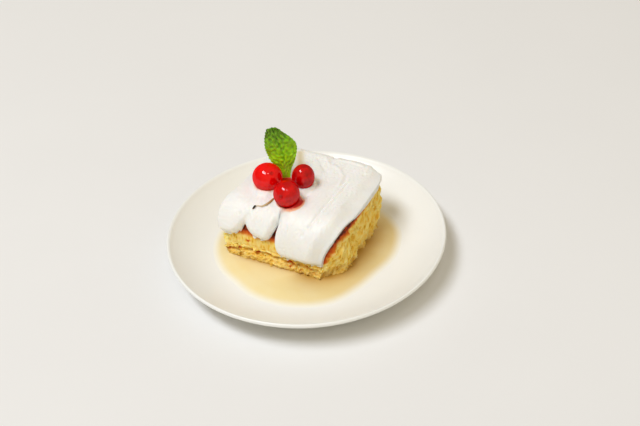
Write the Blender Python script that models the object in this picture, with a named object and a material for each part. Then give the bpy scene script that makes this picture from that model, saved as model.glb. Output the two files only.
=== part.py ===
"""A square of three-milk sponge cake on its dessert plate.

The sponge stands in a shallow pool of milk. Whipped frosting is spread over it in three strokes that
hang over its rounded front, and three cherries and a mint leaf lie on top. Sizes are in millimetres,
and are turned into metres when a mesh is made. X runs along the front of the cake, Y from its front
to its back, and Z is up. The origin is on the table, in the middle of the plate.
"""
import math

import bpy
from mathutils import Vector, noise

MM = 0.001
GAP = 0.35                       # air between two pieces that touch

# Plate, turned about Z
PLATE_RADIUS = 95.0
PLATE_STEPS = 56
PLATE_FLOOR_Z = 6.0              # upper side of the flat middle
PLATE_FLAT_RADIUS = 58.0
PLATE_RISE = 14.4                # from the flat middle up to the rim
PLATE_WALL = 4.0
LIP_RADIUS = 1.6
FOOT_RADIUS = 56.0               # middle of the ring that the plate stands on
FOOT_WIDTH = 4.0
FOOT_HEIGHT = 2.0

# Pool of milk, its edge given by a few radii at angles in degrees
POOL_LEVEL = 8.5
POOL_EDGE_DEPTH = 0.35
POOL_EDGE_SLOPE = 0.35           # how steeply its surface rises from the edge
POOL_EDGE = ((-163, 66.0), (-115, 61.0), (-63, 62.5), (-14, 57.0), (42, 67.5), (95, 65.0), (145, 65.0))

# Sponge, its side view made of an upright front, a rounded shoulder, a top and an upright back
SPONGE_FLOOR_Z = 6.4
SPONGE_FRONT_Y = -28.4
SPONGE_BACK_Y = 47.5
SPONGE_LEFT_X = -42.5
SPONGE_RIGHT_X = 37.6
LEFT_FLARE = 2.0                 # how far the left end leans out at the front
SHOULDER_START_Z = 20.0
SHOULDER_RUN = 20.4
SHOULDER_RISE = 23.5
TOP_RISE = 2.2                   # from the shoulder to the back edge
BACK_ROUND = 2.0
FRONT_CORNER_CUT = 12.0          # how far the right end falls back at the front
BACK_CORNER_CUT = 3.0
BACK_CORNER_RUN = 12.0
SPONGE_CELLS = (26, 22, 9)
WET_ROW_Z = 9.0                  # below this the sides are upright, where the milk meets them
CRAG_SIZE = 7.0
CRAG_DEPTH = 2.4
CRAG_FLATNESS = 0.7              # crags on an upright face are taller than wide
TORN_IN = 0.25                   # share of the crag depth that a torn face lies back on average
KEPT_IN = 0.4                    # how far a torn face stays back under frosting
RIGHT_UNDERCUT = 2.2             # how far the foot of the right end falls back
UNDERCUT_TOP_Z = 30.0
CREASE_Z = 14.6                  # crease along the bare front
CREASE_DEPTH = 2.4
CREASE_WIDTH = 1.5
FRONT_SWELL = 0.7
# Torn ledges at the left end: height, how far each sticks out, half height
LEFT_LEDGES = ((21.0, 5.0, 2.4), (12.5, 4.0, 2.0))
LEDGE_REACH = (-10.0, -22.0)     # places in Y where they begin and are full

# Frosting: each lobe of its hanging edge is a middle x, a lowest distance up the front, and on each
# side a half width, a rise and a power that says how square the lobe is
LOBES = (
    (-43.5, 20.2, 12.0, 9.0, 3.0, 10.5, 7.8, 2.5),
    (-20.0, 21.8, 12.3, 6.2, 2.3, 8.1, 12.6, 7.0),
    (9.0, 13.2, 20.8, 21.2, 7.0, 20.0, 2.0, 6.0),
)
FROSTING_STATIONS = 34
CLEFT_SHARE = 0.465              # where the middle and right strokes meet at the front
CLEFT_STATIONS = (-0.022, -0.012, -0.005, 0.003, 0.012, 0.024)
CLEFT_CLEARANCE = 0.5            # more air under the steep edges of the cleft
CLEFT_REACH = 0.08
CLEFT_EVEN_GAP = 0.03            # the even stations keep this far from it
FROSTING_ROWS = 21
LIP_STEPS = (0.0, 0.8, 2.2, 4.2)  # rows close to the hanging edge
BACK_LIP_STEPS = (0.0, 1.2, 3.0, 5.5)
FRONT_THICKNESS = 4.2
TOP_THICKNESS = 6.2
BACK_THICKNESS = 4.6
FROSTING_TIP = 0.18              # share of the thickness that is left at an edge
EDGE_ROUND = 4.0
BACK_HANG = 5.0
RIGHT_OVERHANG = (0.4, 1.6)      # least and most that it leans out past the right end
LEFT_OVERHANG_TOP = 4.4
LEFT_OVERHANG_FRONT = 9.2
LEFT_HANG = 9.0
SAG_FROM = (-4.0, 20.0)          # places in Y where that sag begins and is full
SAG_TO = (39.0, 34.0)
EDGE_LEAN = 0.3                  # the tip of a rolled side leans out
RIGHT_HANG = (0.4, 4.2)          # least and most that it hangs down over the right end
# From the middle to the tip of a rolled side: inset, share of the overhang, share of the thickness
ROLL = ((3.0, 0.1, 1.0), (0.9, 0.6, 0.88), (-GAP, 1.0, 0.42), (-GAP, 0.5, 0.0))

# Grooves between the strokes: points as share of the width and distance up the front, then depth
# as a share of the thickness, and half width
LOBE_SEAM = (((0.164, 28.0), (0.185, 33.5)), 0.25, 2.4)
STROKE_SEAM = (((0.47, 33.0), (0.497, 38.0), (0.533, 46.5), (0.55, 75.0), (0.53, 104.0)), 0.26, 3.2)
SWATH_GROOVE = (((0.755, 35.0), (0.755, 48.0), (0.76, 92.0)), 0.13, 2.6)
GROOVES = (LOBE_SEAM, STROKE_SEAM, SWATH_GROOVE)
RIGHT_SWATH_LIFT = 0.5
RIGHT_SWATH_SHARES = (0.5, 0.56)

# Cherries: node name, place of the middle in plan, radii along X, Y and Z, turn in degrees
CHERRIES = (
    ("cherry_left", (-27.2, 0.5), (10.2, 9.7, 9.7), 29.0),
    ("cherry_right", (-5.2, 10.3), (7.6, 7.8, 9.0), -10.0),
    ("cherry_front", (-6.9, -10.8), (8.8, 8.7, 9.3), 40.0),
)
CHERRY_DENT = 2.2
CHERRY_DENT_RADIUS = 8.5
CHERRY_STEPS = (20, 12)
CHERRY_UNEVEN = 0.25
CHERRY_UNEVEN_SCALE = 1.3

# Stalk of the front cherry, lying on the frosting: points of its middle as x and distance up the front,
# from its knob to the cherry
STALK_PATH = (
    (-27.4, 37.7), (-26.6, 39.2), (-25.0, 40.0), (-22.3, 40.4),
    (-20.1, 42.0), (-18.4, 43.9), (-16.9, 46.0), (-15.2, 48.3),
)
STALK_RADII = (0.5, 0.9)         # behind the knob and at the cherry
STALK_KNOB_RADII = (0.6, 1.15)   # at the tip of the knob and at its middle
STALK_STEPS_BETWEEN = 3          # rings between two points of the path
STALK_SIDES = 8

# Mint leaf, pressed into the frosting behind the cherries
LEAF_FOOT = (-20.5, 14.3)
LEAF_TURN = 29.0                 # the way its face is turned about Z, in degrees
LEAF_LENGTH = 41.4
LEAF_HALF_WIDTH = 9.5
LEAF_LEAN = 11.0                 # to its left, in degrees
LEAF_TIP_CURL = 3.0
LEAF_BOW = 2.6                   # how far the whole leaf bends to its right
LEAF_CUP = 2.2
LEAF_RIB_BOW = 2.6
LEAF_WAVE = 0.55
LEAF_TEETH = 9
LEAF_TOOTH = 0.45
LEAF_THICKNESS = 0.8
LEAF_STALK = 1.2                 # half width of its stalk end
LEAF_LIFT = 0.4                  # air under the stalk end, beyond the gap
LEAF_DENT = 1.6                  # how deep it is pressed in
LEAF_DENT_RADIUS = 6.5
LEAF_END = 0.985                 # share of the length at its blunt tip
LEAF_ROWS = 20
LEAF_COLUMNS = 10

COLOURS = {
    "plate": (0.80, 0.78, 0.72),
    "milk_pool": (0.88, 0.70, 0.38),
    "sponge": (0.72, 0.45, 0.12),
    "frosting": (0.90, 0.87, 0.80),
    "cherry": (0.55, 0.02, 0.01),
    "cherry_stalk": (0.30, 0.16, 0.05),
    "mint_leaf": (0.12, 0.27, 0.02),
}


def smooth_step(low, high, value):
    """0 below low, 1 above high and smooth between; low may be the larger of the two."""
    share = min(max((value - low) / (high - low), 0.0), 1.0)
    return share * share * (3.0 - 2.0 * share)


def blend(start, end, share):
    return start + (end - start) * share


def rounded(share):
    """Height of a quarter circle at a share of its width."""
    share = min(max(share, 0.0), 1.0)
    return math.sqrt(1.0 - (1.0 - share) ** 2)


def crags(point, size):
    """Uneven crumb, about -1 to 1, that depends only on the place."""
    return 1.6 * noise.fractal(Vector(point) / size, 0.9, 2.1, 3)


def lattice_shell(cells, place, single_floor=False):
    """The closed skin of a block of cells, each corner put where place(i, j, k) says."""
    nx, ny, nz = cells
    corners = {}
    points = []

    def corner(i, j, k):
        if (i, j, k) not in corners:
            corners[i, j, k] = len(points)
            points.append(place(i, j, k))
        return corners[i, j, k]

    def side(steps, path):
        for a in range(steps):
            for b in range(nz):
                near, far = path(a), path(a + 1)
                faces.append([corner(*near, b), corner(*far, b), corner(*far, b + 1), corner(*near, b + 1)])

    faces = []
    for i in range(nx):
        for j in range(ny):
            square = [(i, j), (i + 1, j), (i + 1, j + 1), (i, j + 1)]
            faces.append([corner(a, b, nz) for a, b in square])
            if not single_floor:
                faces.append([corner(a, b, 0) for a, b in reversed(square)])
    side(nx, lambda a: (a, 0))
    side(ny, lambda a: (nx, a))
    side(nx, lambda a: (nx - a, ny))
    side(ny, lambda a: (0, ny - a))
    if single_floor:
        faces.append([corner(i, j, 0) for i, j in reversed(rim_of_block(nx, ny))])
    return points, faces


def rim_of_block(nx, ny):
    """Grid corners round the edge of nx by ny cells, anticlockwise from the front left."""
    rim = [(i, 0) for i in range(nx)]
    rim += [(nx, j) for j in range(ny)]
    rim += [(i, ny) for i in range(nx, 0, -1)]
    rim += [(0, j) for j in range(ny, 0, -1)]
    return rim


def add_object(name, points, faces, colour, roughness, sharp_angle=50.0):
    """A mesh object from points in millimetres, shaded smooth except at sharp edges."""
    mesh = bpy.data.meshes.new(name)
    mesh.from_pydata([Vector(point) * MM for point in points], [], faces)
    mesh.shade_smooth()
    mesh.set_sharp_from_angle(angle=math.radians(sharp_angle))
    mesh.materials.append(plain_material(name, colour, roughness))
    part = bpy.data.objects.new(name, mesh)
    bpy.context.scene.collection.objects.link(part)
    return part


def plain_material(name, colour, roughness):
    material = bpy.data.materials.new(name)
    material.use_nodes = True
    shader = material.node_tree.nodes["Principled BSDF"]
    shader.inputs["Base Color"].default_value = (*colour, 1.0)
    shader.inputs["Roughness"].default_value = roughness
    shader.inputs["Metallic"].default_value = 0.0
    material.diffuse_color = (*colour, 1.0)
    return material


# Plate

def plate_surface_z(radius):
    """Height of the upper side of the plate at a distance from its middle."""
    reach = PLATE_RADIUS - LIP_RADIUS - PLATE_FLAT_RADIUS
    share = max(radius - PLATE_FLAT_RADIUS, 0.0) / reach
    return PLATE_FLOOR_Z + PLATE_RISE * share ** 2


def plate_profile():
    """Half section from the middle of the upper side, over the rim, to the middle of the underside."""
    lip_r = PLATE_RADIUS - LIP_RADIUS
    curve_steps = 5
    lip_steps = 3
    profile = [(0.0, PLATE_FLOOR_Z), (PLATE_FLAT_RADIUS * 0.5, PLATE_FLOOR_Z)]
    for step in range(curve_steps + 1):
        radius = blend(PLATE_FLAT_RADIUS, lip_r - LIP_RADIUS * 0.7, step / curve_steps)
        profile.append((radius, plate_surface_z(radius)))
    lip_z = plate_surface_z(lip_r) - LIP_RADIUS * 0.4
    for step in range(lip_steps + 1):
        angle = math.radians(blend(75.0, -60.0, step / lip_steps))
        profile.append((lip_r + LIP_RADIUS * math.cos(angle), lip_z + LIP_RADIUS * math.sin(angle)))
    foot_outer = FOOT_RADIUS + FOOT_WIDTH / 2
    foot_inner = FOOT_RADIUS - FOOT_WIDTH / 2
    under_start = lip_r - 2.5
    under_end = foot_outer + 2.0
    for step in range(curve_steps):
        radius = blend(under_start, under_end, step / (curve_steps - 1))
        drop = blend(PLATE_WALL * 0.85, PLATE_WALL, step / (curve_steps - 1))
        profile.append((radius, plate_surface_z(radius) - drop))
    profile.append((foot_outer, FOOT_HEIGHT * 0.45))
    profile.append((foot_outer - 0.5, 0.0))
    profile.append((foot_inner + 0.5, 0.0))
    profile.append((foot_inner - 0.5, FOOT_HEIGHT))
    profile.append((0.0, FOOT_HEIGHT))
    return profile


def turned(profile, steps):
    """A closed body turned about Z, its profile starting and ending on the axis."""
    points = [(0.0, 0.0, profile[0][1]), (0.0, 0.0, profile[-1][1])]
    rings = []
    for radius, height in profile[1:-1]:
        rings.append(len(points))
        for step in range(steps):
            angle = math.tau * step / steps
            points.append((radius * math.cos(angle), radius * math.sin(angle), height))
    faces = []
    for step in range(steps):
        after = (step + 1) % steps
        faces.append([0, rings[0] + step, rings[0] + after])
        faces.append([1, rings[-1] + after, rings[-1] + step])
        for upper, lower in zip(rings, rings[1:]):
            faces.append([upper + step, lower + step, lower + after, upper + after])
    return points, faces


def add_plate():
    points, faces = turned(plate_profile(), PLATE_STEPS)
    return add_object("plate", points, faces, COLOURS["plate"], 0.2)


# Sponge

def back_corner(y):
    return BACK_CORNER_CUT * (max(y - (SPONGE_BACK_Y - BACK_CORNER_RUN), 0.0) / BACK_CORNER_RUN) ** 2


def left_end(y):
    return SPONGE_LEFT_X - LEFT_FLARE * smooth_step(5.0, SPONGE_FRONT_Y, y) + back_corner(y)


def right_end(y):
    front = max(SPONGE_FRONT_Y + SHOULDER_RUN - y, 0.0) / SHOULDER_RUN
    return SPONGE_RIGHT_X - FRONT_CORNER_CUT * front ** 2 - back_corner(y)


def side_view():
    """Points of the cake's side view from the foot of its front, over the top, down its back."""
    shoulder_end_y = SPONGE_FRONT_Y + SHOULDER_RUN
    shoulder_end_z = SHOULDER_START_Z + SHOULDER_RISE
    back_top_z = shoulder_end_z + TOP_RISE
    view = [(SPONGE_FRONT_Y, SPONGE_FLOOR_Z)]
    for degrees in range(0, 91, 2):
        angle = math.radians(degrees)
        y = shoulder_end_y - SHOULDER_RUN * math.cos(angle)
        view.append((y, SHOULDER_START_Z + SHOULDER_RISE * math.sin(angle)))
    for degrees in range(90, -1, -10):
        angle = math.radians(degrees)
        y = SPONGE_BACK_Y - BACK_ROUND + BACK_ROUND * math.cos(angle)
        view.append((y, back_top_z - BACK_ROUND + BACK_ROUND * math.sin(angle)))
    view.append((SPONGE_BACK_Y, SPONGE_FLOOR_Z))
    return view


def measured(view):
    """The distance along the side view at each of its points."""
    distances = [0.0]
    for (y0, z0), (y1, z1) in zip(view, view[1:]):
        distances.append(distances[-1] + math.hypot(y1 - y0, z1 - z0))
    return distances


SIDE_VIEW = side_view()
SIDE_DISTANCES = measured(SIDE_VIEW)
BACK_EDGE = SIDE_DISTANCES[-2] - BACK_ROUND * math.pi / 4     # distance to the back edge of the top


def on_side_view(distance):
    """Place and outward direction at a distance up the front and over the top: y, z, ny, nz."""
    last = len(SIDE_DISTANCES) - 1
    step = 1
    while step < last and SIDE_DISTANCES[step] < distance:
        step += 1
    y0, z0 = SIDE_VIEW[step - 1]
    y1, z1 = SIDE_VIEW[step]
    length = SIDE_DISTANCES[step] - SIDE_DISTANCES[step - 1]
    share = (distance - SIDE_DISTANCES[step - 1]) / length
    ny, nz = -(z1 - z0) / length, (y1 - y0) / length
    return blend(y0, y1, share), blend(z0, z1, share), ny, nz


def distance_at(y):
    """The distance along the side view where its top passes y."""
    for step in range(1, len(SIDE_VIEW)):
        y0, y1 = SIDE_VIEW[step - 1][0], SIDE_VIEW[step][0]
        if y0 <= y <= y1 and y1 > y0:
            return blend(SIDE_DISTANCES[step - 1], SIDE_DISTANCES[step], (y - y0) / (y1 - y0))
    return BACK_EDGE


def sponge_rows(count):
    """Places in y of the rows of the top, close together where the shoulder is steep."""
    shoulder = count * 2 // 5
    rows = []
    for row in range(shoulder + 1):
        rows.append(SPONGE_FRONT_Y + SHOULDER_RUN * (1.0 - math.cos(math.pi / 2 * row / shoulder)))
    rest = count - shoulder
    for row in range(1, rest + 1):
        rows.append(blend(SPONGE_FRONT_Y + SHOULDER_RUN, SPONGE_BACK_Y - BACK_ROUND * 0.3, row / rest))
    return rows


def top_z(y):
    """Height of the top of the sponge at y."""
    return on_side_view(distance_at(y))[1]


def front_relief(x, z):
    """The bare front swells above and below a wavy crease."""
    crease_z = CREASE_Z + 1.2 * math.sin(x * 0.13) + 0.6 * math.sin(x * 0.41)
    swell = FRONT_SWELL - CREASE_DEPTH * math.exp(-((z - crease_z) / CREASE_WIDTH) ** 2)
    bare = smooth_step(SHOULDER_START_Z - 0.5, SHOULDER_START_Z - 4.0, z)
    return bare * (swell + 0.7 * crags((x, 0.0, z), CRAG_SIZE * 0.6))


def depth_inside(y, z):
    """How far a place on a cut end is inside the side view, and how far up the front it is nearest."""
    best = (1e9, 0.0)
    for (y0, z0), (y1, z1), start in zip(SIDE_VIEW, SIDE_VIEW[1:], SIDE_DISTANCES):
        length2 = (y1 - y0) ** 2 + (z1 - z0) ** 2
        part = min(max(((y - y0) * (y1 - y0) + (z - z0) * (z1 - z0)) / length2, 0.0), 1.0)
        away = math.hypot(y - blend(y0, y1, part), z - blend(z0, z1, part))
        best = min(best, (away, start + part * math.sqrt(length2)))
    return best


def frosting_cover(y, z, lowest, hang):
    """1 where frosting hangs over a place on a cut end, 0 well clear of it."""
    depth, distance = depth_inside(y, z)
    return smooth_step(hang + 4.0, hang + 1.0, depth) * smooth_step(lowest - 3.5, lowest - 0.5, distance)


def left_shelves(y, z):
    """Two torn ledges of crumb that stick out of the left end near the front."""
    out = sum(reach * math.exp(-((z - middle) / half) ** 2) for middle, reach, half in LEFT_LEDGES)
    return out * smooth_step(*LEDGE_REACH, y)


def end_relief(y, z, side):
    """Depth of torn crumb on a cut end; never outward where frosting hangs over it."""
    bare = smooth_step(0.5, 6.0, top_z(y) - z)
    torn = CRAG_DEPTH * (crags((side * SPONGE_RIGHT_X, y, z * CRAG_FLATNESS), CRAG_SIZE) - TORN_IN)
    if side < 0:
        torn += left_shelves(y, z)
    else:
        torn -= RIGHT_UNDERCUT * smooth_step(UNDERCUT_TOP_Z, WET_ROW_Z, z)
    lowest = hanging_edge(0.0 if side < 0 else 1.0)
    cover = frosting_cover(y, z, lowest, LEFT_HANG if side < 0 else right_sag(y, RIGHT_HANG))
    return bare * blend(torn, min(torn, -KEPT_IN), cover)


def back_relief(x, z):
    """Depth of torn crumb on the back, kept in where frosting hangs over it."""
    depth = top_z(SPONGE_BACK_Y) - z
    torn = CRAG_DEPTH * (crags((x, SPONGE_BACK_Y, z * CRAG_FLATNESS), CRAG_SIZE) - TORN_IN)
    cover = smooth_step(BACK_HANG + 4.0, BACK_HANG + 1.0, depth)
    return smooth_step(0.5, 6.0, depth) * blend(torn, min(torn, -KEPT_IN), cover)


def add_sponge():
    """The cake itself; its rim at the floor is returned for the pool to fit round."""
    nx, ny, nz = SPONGE_CELLS
    rows = sponge_rows(ny)

    def place(i, j, k):
        y = rows[j]
        x = blend(left_end(y), right_end(y), i / nx)
        height = top_z(y)
        z = SPONGE_FLOOR_Z
        if k > 0:
            z = blend(WET_ROW_Z, height, (k - 1) / (nz - 1))
        relief_z = max(z, WET_ROW_Z)
        out_x = out_y = 0.0
        if i == nx:
            out_x += end_relief(y, relief_z, 1)
        if i == 0:
            out_x -= end_relief(y, relief_z, -1)
        if j == 0:
            out_y -= front_relief(x, relief_z)
        if j == ny:
            out_y += back_relief(x, relief_z)
        if k == nz:
            out_x = out_y = 0.0
        return (x + out_x, y + out_y, z)

    points, faces = lattice_shell(SPONGE_CELLS, place, single_floor=True)
    add_object("sponge", points, faces, COLOURS["sponge"], 0.9, 35.0)
    return [place(i, j, 0) for i, j in rim_of_block(nx, ny)]


# Milk

def pool_radius(angle):
    """Radius of the pool at an angle in degrees, eased between the given ones."""
    knots = list(POOL_EDGE) + [(POOL_EDGE[0][0] + 360.0, POOL_EDGE[0][1])]
    if angle < knots[0][0]:
        angle += 360.0
    for (a0, r0), (a1, r1) in zip(knots, knots[1:]):
        if a0 <= angle <= a1:
            return blend(r0, r1, smooth_step(a0, a1, angle))
    return knots[0][1]


def offset_ring(ring, distance):
    """Points of a closed anticlockwise ring in plan, each moved outward."""
    moved = []
    for index, (x, y, _) in enumerate(ring):
        before = ring[index - 1]
        after = ring[(index + 1) % len(ring)]
        along = Vector((after[0] - before[0], after[1] - before[1], 0.0)).normalized()
        moved.append((x + along.y * distance, y - along.x * distance))
    return moved


def add_milk_pool(sponge_rim):
    """Milk on the plate, from the foot of the sponge out to its uneven edge."""
    inner = offset_ring(sponge_rim, 2.0 * GAP)
    shares = (0.0, 0.8, 1.0)
    count = len(inner)
    points = []
    for share in shares:
        for x, y in inner:
            angle = math.atan2(y, x)
            edge = pool_radius(math.degrees(angle))
            start = math.hypot(x, y)
            radius = blend(start, edge, share)
            floor = plate_surface_z(radius) + GAP
            top = min(POOL_LEVEL, floor + POOL_EDGE_DEPTH + POOL_EDGE_SLOPE * (edge - radius))
            points.append((radius * math.cos(angle), radius * math.sin(angle), top))
            points.append((radius * math.cos(angle), radius * math.sin(angle), floor))
    faces = []
    for index in range(count):
        after = (index + 1) % count
        for ring in range(len(shares) - 1):
            near, far = ring * count, (ring + 1) * count
            faces.append([2 * (n + m) for n, m in ((near, index), (far, index), (far, after), (near, after))])
            faces.append([2 * (n + m) + 1 for n, m in ((near, after), (far, after), (far, index), (near, index))])
        last = (len(shares) - 1) * count
        faces.append([2 * index, 2 * after, 2 * after + 1, 2 * index + 1])
        faces.append([2 * (last + after), 2 * (last + index), 2 * (last + index) + 1, 2 * (last + after) + 1])
    return add_object("milk_pool", points, faces, COLOURS["milk_pool"], 0.25)


# Frosting

def lobe_edge(x, lobe):
    middle, lowest, left_width, left_rise, left_power, right_width, right_rise, right_power = lobe
    if x < middle:
        return lowest + left_rise * ((middle - x) / left_width) ** left_power
    return lowest + right_rise * ((x - middle) / right_width) ** right_power


def hanging_edge(share):
    """How far up the front the frosting ends, at a share of the cake's width."""
    x = blend(left_end(SPONGE_FRONT_Y), right_end(SPONGE_FRONT_Y), share)
    return min(lobe_edge(x, lobe) for lobe in LOBES)


EDGE_SAMPLES = [(step / 200.0, hanging_edge(step / 200.0)) for step in range(201)]
REFERENCE_WIDTH = 78.0           # turns a share of the width into millimetres


def distance_to_path(share, distance, path):
    """Distance on the unrolled cake from a place to a path of (share, distance) points."""
    best = 1e9
    for (u0, s0), (u1, s1) in zip(path, path[1:]):
        along = ((u1 - u0) * REFERENCE_WIDTH, s1 - s0)
        to_point = ((share - u0) * REFERENCE_WIDTH, distance - s0)
        length2 = along[0] ** 2 + along[1] ** 2 or 1.0
        part = min(max((along[0] * to_point[0] + along[1] * to_point[1]) / length2, 0.0), 1.0)
        best = min(best, math.hypot(to_point[0] - along[0] * part, to_point[1] - along[1] * part))
    return best


def groove(share, distance, cut):
    path, depth, half_width = cut
    return depth * math.exp(-(distance_to_path(share, distance, path) / half_width) ** 2)


def cherry_cover(x, y):
    """1 under a cherry, 0 away from all of them."""
    cover = 0.0
    for _, (cx, cy), _, _ in CHERRIES:
        cover = max(cover, smooth_step(CHERRY_DENT_RADIUS + 2.0, 4.0, math.hypot(x - cx, y - cy)))
    return cover


def dents(x, y):
    """How deep the cherries and the leaf are pressed into the frosting."""
    away = math.hypot(x - LEAF_FOOT[0], y - LEAF_FOOT[1]) / LEAF_DENT_RADIUS
    dent = max(0.0, LEAF_DENT * (1.0 - away ** 2))
    for _, (cx, cy), _, _ in CHERRIES:
        away = math.hypot(x - cx, y - cy) / CHERRY_DENT_RADIUS
        dent = max(dent, CHERRY_DENT * (1.0 - away ** 2))
    return dent


def frosting_thickness(share, distance, x, y):
    """Thickness at a share of the width and a distance up the front and over the top."""
    body = blend(FRONT_THICKNESS, TOP_THICKNESS, smooth_step(14.0, 40.0, distance))
    body = blend(body, BACK_THICKNESS, smooth_step(45.0, BACK_EDGE, distance))
    relief = max(groove(share, distance, cut) for cut in GROOVES)
    lift = RIGHT_SWATH_LIFT * smooth_step(*RIGHT_SWATH_SHARES, share)
    thickness = (body + lift) * (1.0 - relief)
    thickness = blend(thickness, body, cherry_cover(x, y)) - dents(x, y)
    to_front = distance_to_path(share, distance, EDGE_SAMPLES)
    to_back = BACK_EDGE + BACK_HANG - distance
    edge = min(to_front, to_back) / EDGE_ROUND
    return thickness * max(rounded(edge), FROSTING_TIP)


def underside_lift(share):
    """Air between the sponge and the frosting."""
    return GAP + CLEFT_CLEARANCE * math.exp(-((share - CLEFT_SHARE) / CLEFT_REACH) ** 2)


def left_overhang(distance):
    return blend(LEFT_OVERHANG_FRONT, LEFT_OVERHANG_TOP, smooth_step(28.0, 55.0, distance))


def right_sag(y, limits):
    """The frosting has sunk furthest over the right end behind the middle of the cake."""
    return blend(*limits, smooth_step(*SAG_FROM, y) * smooth_step(*SAG_TO, y))


def frosting_stations():
    """Places across the cake: share of the width, side, inset, overhang share and thickness share."""
    stations = []
    for inset, out, up in reversed(ROLL):
        stations.append((0.0, -1, inset, out, up))
    even = [step / FROSTING_STATIONS for step in range(2, FROSTING_STATIONS - 1)]
    shares = [share for share in even if abs(share - CLEFT_SHARE) > CLEFT_EVEN_GAP]
    shares = sorted(shares + [CLEFT_SHARE + step for step in CLEFT_STATIONS])
    for share in shares:
        stations.append((share, 0, 0.0, 0.0, 1.0))
    for inset, out, up in ROLL:
        stations.append((1.0, 1, inset, out, up))
    return stations


def frosting_rows(share):
    """Distances of the rows from the hanging edge, over the top, to the edge at the back."""
    start = hanging_edge(share)
    end = BACK_EDGE + BACK_HANG
    inner_start = start + LIP_STEPS[-1]
    inner_end = end - BACK_LIP_STEPS[-1]
    rows = [start + step for step in LIP_STEPS[:-1]]
    rows += [blend(inner_start, inner_end, row / FROSTING_ROWS) for row in range(FROSTING_ROWS + 1)]
    rows += [end - step for step in reversed(BACK_LIP_STEPS[:-1])]
    return rows


def frosting_place(station, distance, layer):
    """A point on the underside (layer 0) or the outside (layer 1) of the frosting."""
    share, side, inset, out, up = station
    y, z, ny, nz = on_side_view(distance)
    lift = underside_lift(share)
    if side != 0 and up == 0.0:
        lift = -(LEFT_HANG if side < 0 else right_sag(y, RIGHT_HANG))
    edge_y = y + ny * min(lift, 0.0)
    x = blend(left_end(y), right_end(y), share)
    thickness = frosting_thickness(share, distance, x, y)
    if side > 0:
        x = right_end(edge_y) - inset
    if side < 0:
        x = left_end(edge_y) + inset
    if layer == 1:
        fullness = thickness / TOP_THICKNESS
        overhang = right_sag(y, RIGHT_OVERHANG) if side > 0 else left_overhang(distance)
        x += side * out * overhang * min(fullness, 1.0)
        lift += up * thickness
        if up == 0.0:
            x += side * EDGE_LEAN
    return (x, y + ny * lift, z + nz * lift)


def add_frosting():
    stations = frosting_stations()
    rows = [frosting_rows(station[0]) for station in stations]
    cells = (len(stations) - 1, len(rows[0]) - 1, 1)
    points, faces = lattice_shell(cells, lambda i, j, k: frosting_place(stations[i], rows[i][j], k))
    return add_object("frosting", points, faces, COLOURS["frosting"], 0.6)


def above_frosting(x, distance, lift):
    """A place over the outside of the frosting, at x and a distance up the front."""
    y, z, ny, nz = on_side_view(distance)
    share = (x - left_end(y)) / (right_end(y) - left_end(y))
    height = underside_lift(share) + frosting_thickness(share, distance, x, y) + lift
    return Vector((x, y + ny * height, z + nz * height))


def frosting_top(x, y):
    """Height of the frosting at a place on the top of the cake."""
    return above_frosting(x, distance_at(y), 0.0).z


# Cherries

def add_cherry(name, place, radii, turn):
    """A slightly uneven ball that rests in its dent."""
    around, upward = CHERRY_STEPS
    centre = Vector((*place, frosting_top(*place) + GAP + radii[2]))
    angle = math.radians(turn)
    profile_angles = [math.pi * step / upward for step in range(1, upward)]
    points = [centre + Vector((0.0, 0.0, radii[2])), centre - Vector((0.0, 0.0, radii[2]))]
    for polar in profile_angles:
        for step in range(around):
            turn_here = math.tau * step / around
            spot = Vector((math.sin(polar) * math.cos(turn_here), math.sin(polar) * math.sin(turn_here),
                           math.cos(polar)))
            uneven = CHERRY_UNEVEN * noise.noise(spot * CHERRY_UNEVEN_SCALE + Vector((turn, 0.0, 0.0))) * math.sin(polar)
            local = Vector((spot.x * (radii[0] + uneven), spot.y * (radii[1] + uneven), spot.z * radii[2]))
            x = local.x * math.cos(angle) - local.y * math.sin(angle)
            y = local.x * math.sin(angle) + local.y * math.cos(angle)
            points.append(centre + Vector((x, y, local.z)))
    faces = []
    rings = [2 + ring * around for ring in range(len(profile_angles))]
    for step in range(around):
        after = (step + 1) % around
        faces.append([0, rings[0] + step, rings[0] + after])
        faces.append([1, rings[-1] + after, rings[-1] + step])
        for upper, lower in zip(rings, rings[1:]):
            faces.append([upper + step, lower + step, lower + after, upper + after])
    return add_object(name, points, faces, COLOURS["cherry"], 0.15)


def curve_point(before, start, end, after, share):
    """A place between two points of a path, on a smooth curve through all four."""
    slope = end - before
    bend = 2.0 * before - 5.0 * start + 4.0 * end - after
    turn = 3.0 * start - before - 3.0 * end + after
    return start + 0.5 * (slope * share + bend * share ** 2 + turn * share ** 3)


def stalk_rings():
    """Middles and radii of the stalk's rings, from the tip of its knob to the cherry."""
    slim, thick = STALK_RADII
    last = len(STALK_PATH) - 1
    radii = list(STALK_KNOB_RADII) + [blend(slim, thick, (step - 2) / (last - 2)) for step in range(2, last + 1)]
    knots = [above_frosting(x, distance, GAP + radius) for (x, distance), radius in zip(STALK_PATH, radii)]
    knots = [2.0 * knots[0] - knots[1]] + knots + [2.0 * knots[-1] - knots[-2]]
    rings = []
    for step in range(last):
        for between in range(STALK_STEPS_BETWEEN):
            share = between / STALK_STEPS_BETWEEN
            radius = blend(radii[step], radii[step + 1], share)
            rings.append((curve_point(*knots[step:step + 4], share), radius))
    return rings + [(knots[-2], radii[-1] * 0.6)]


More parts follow.
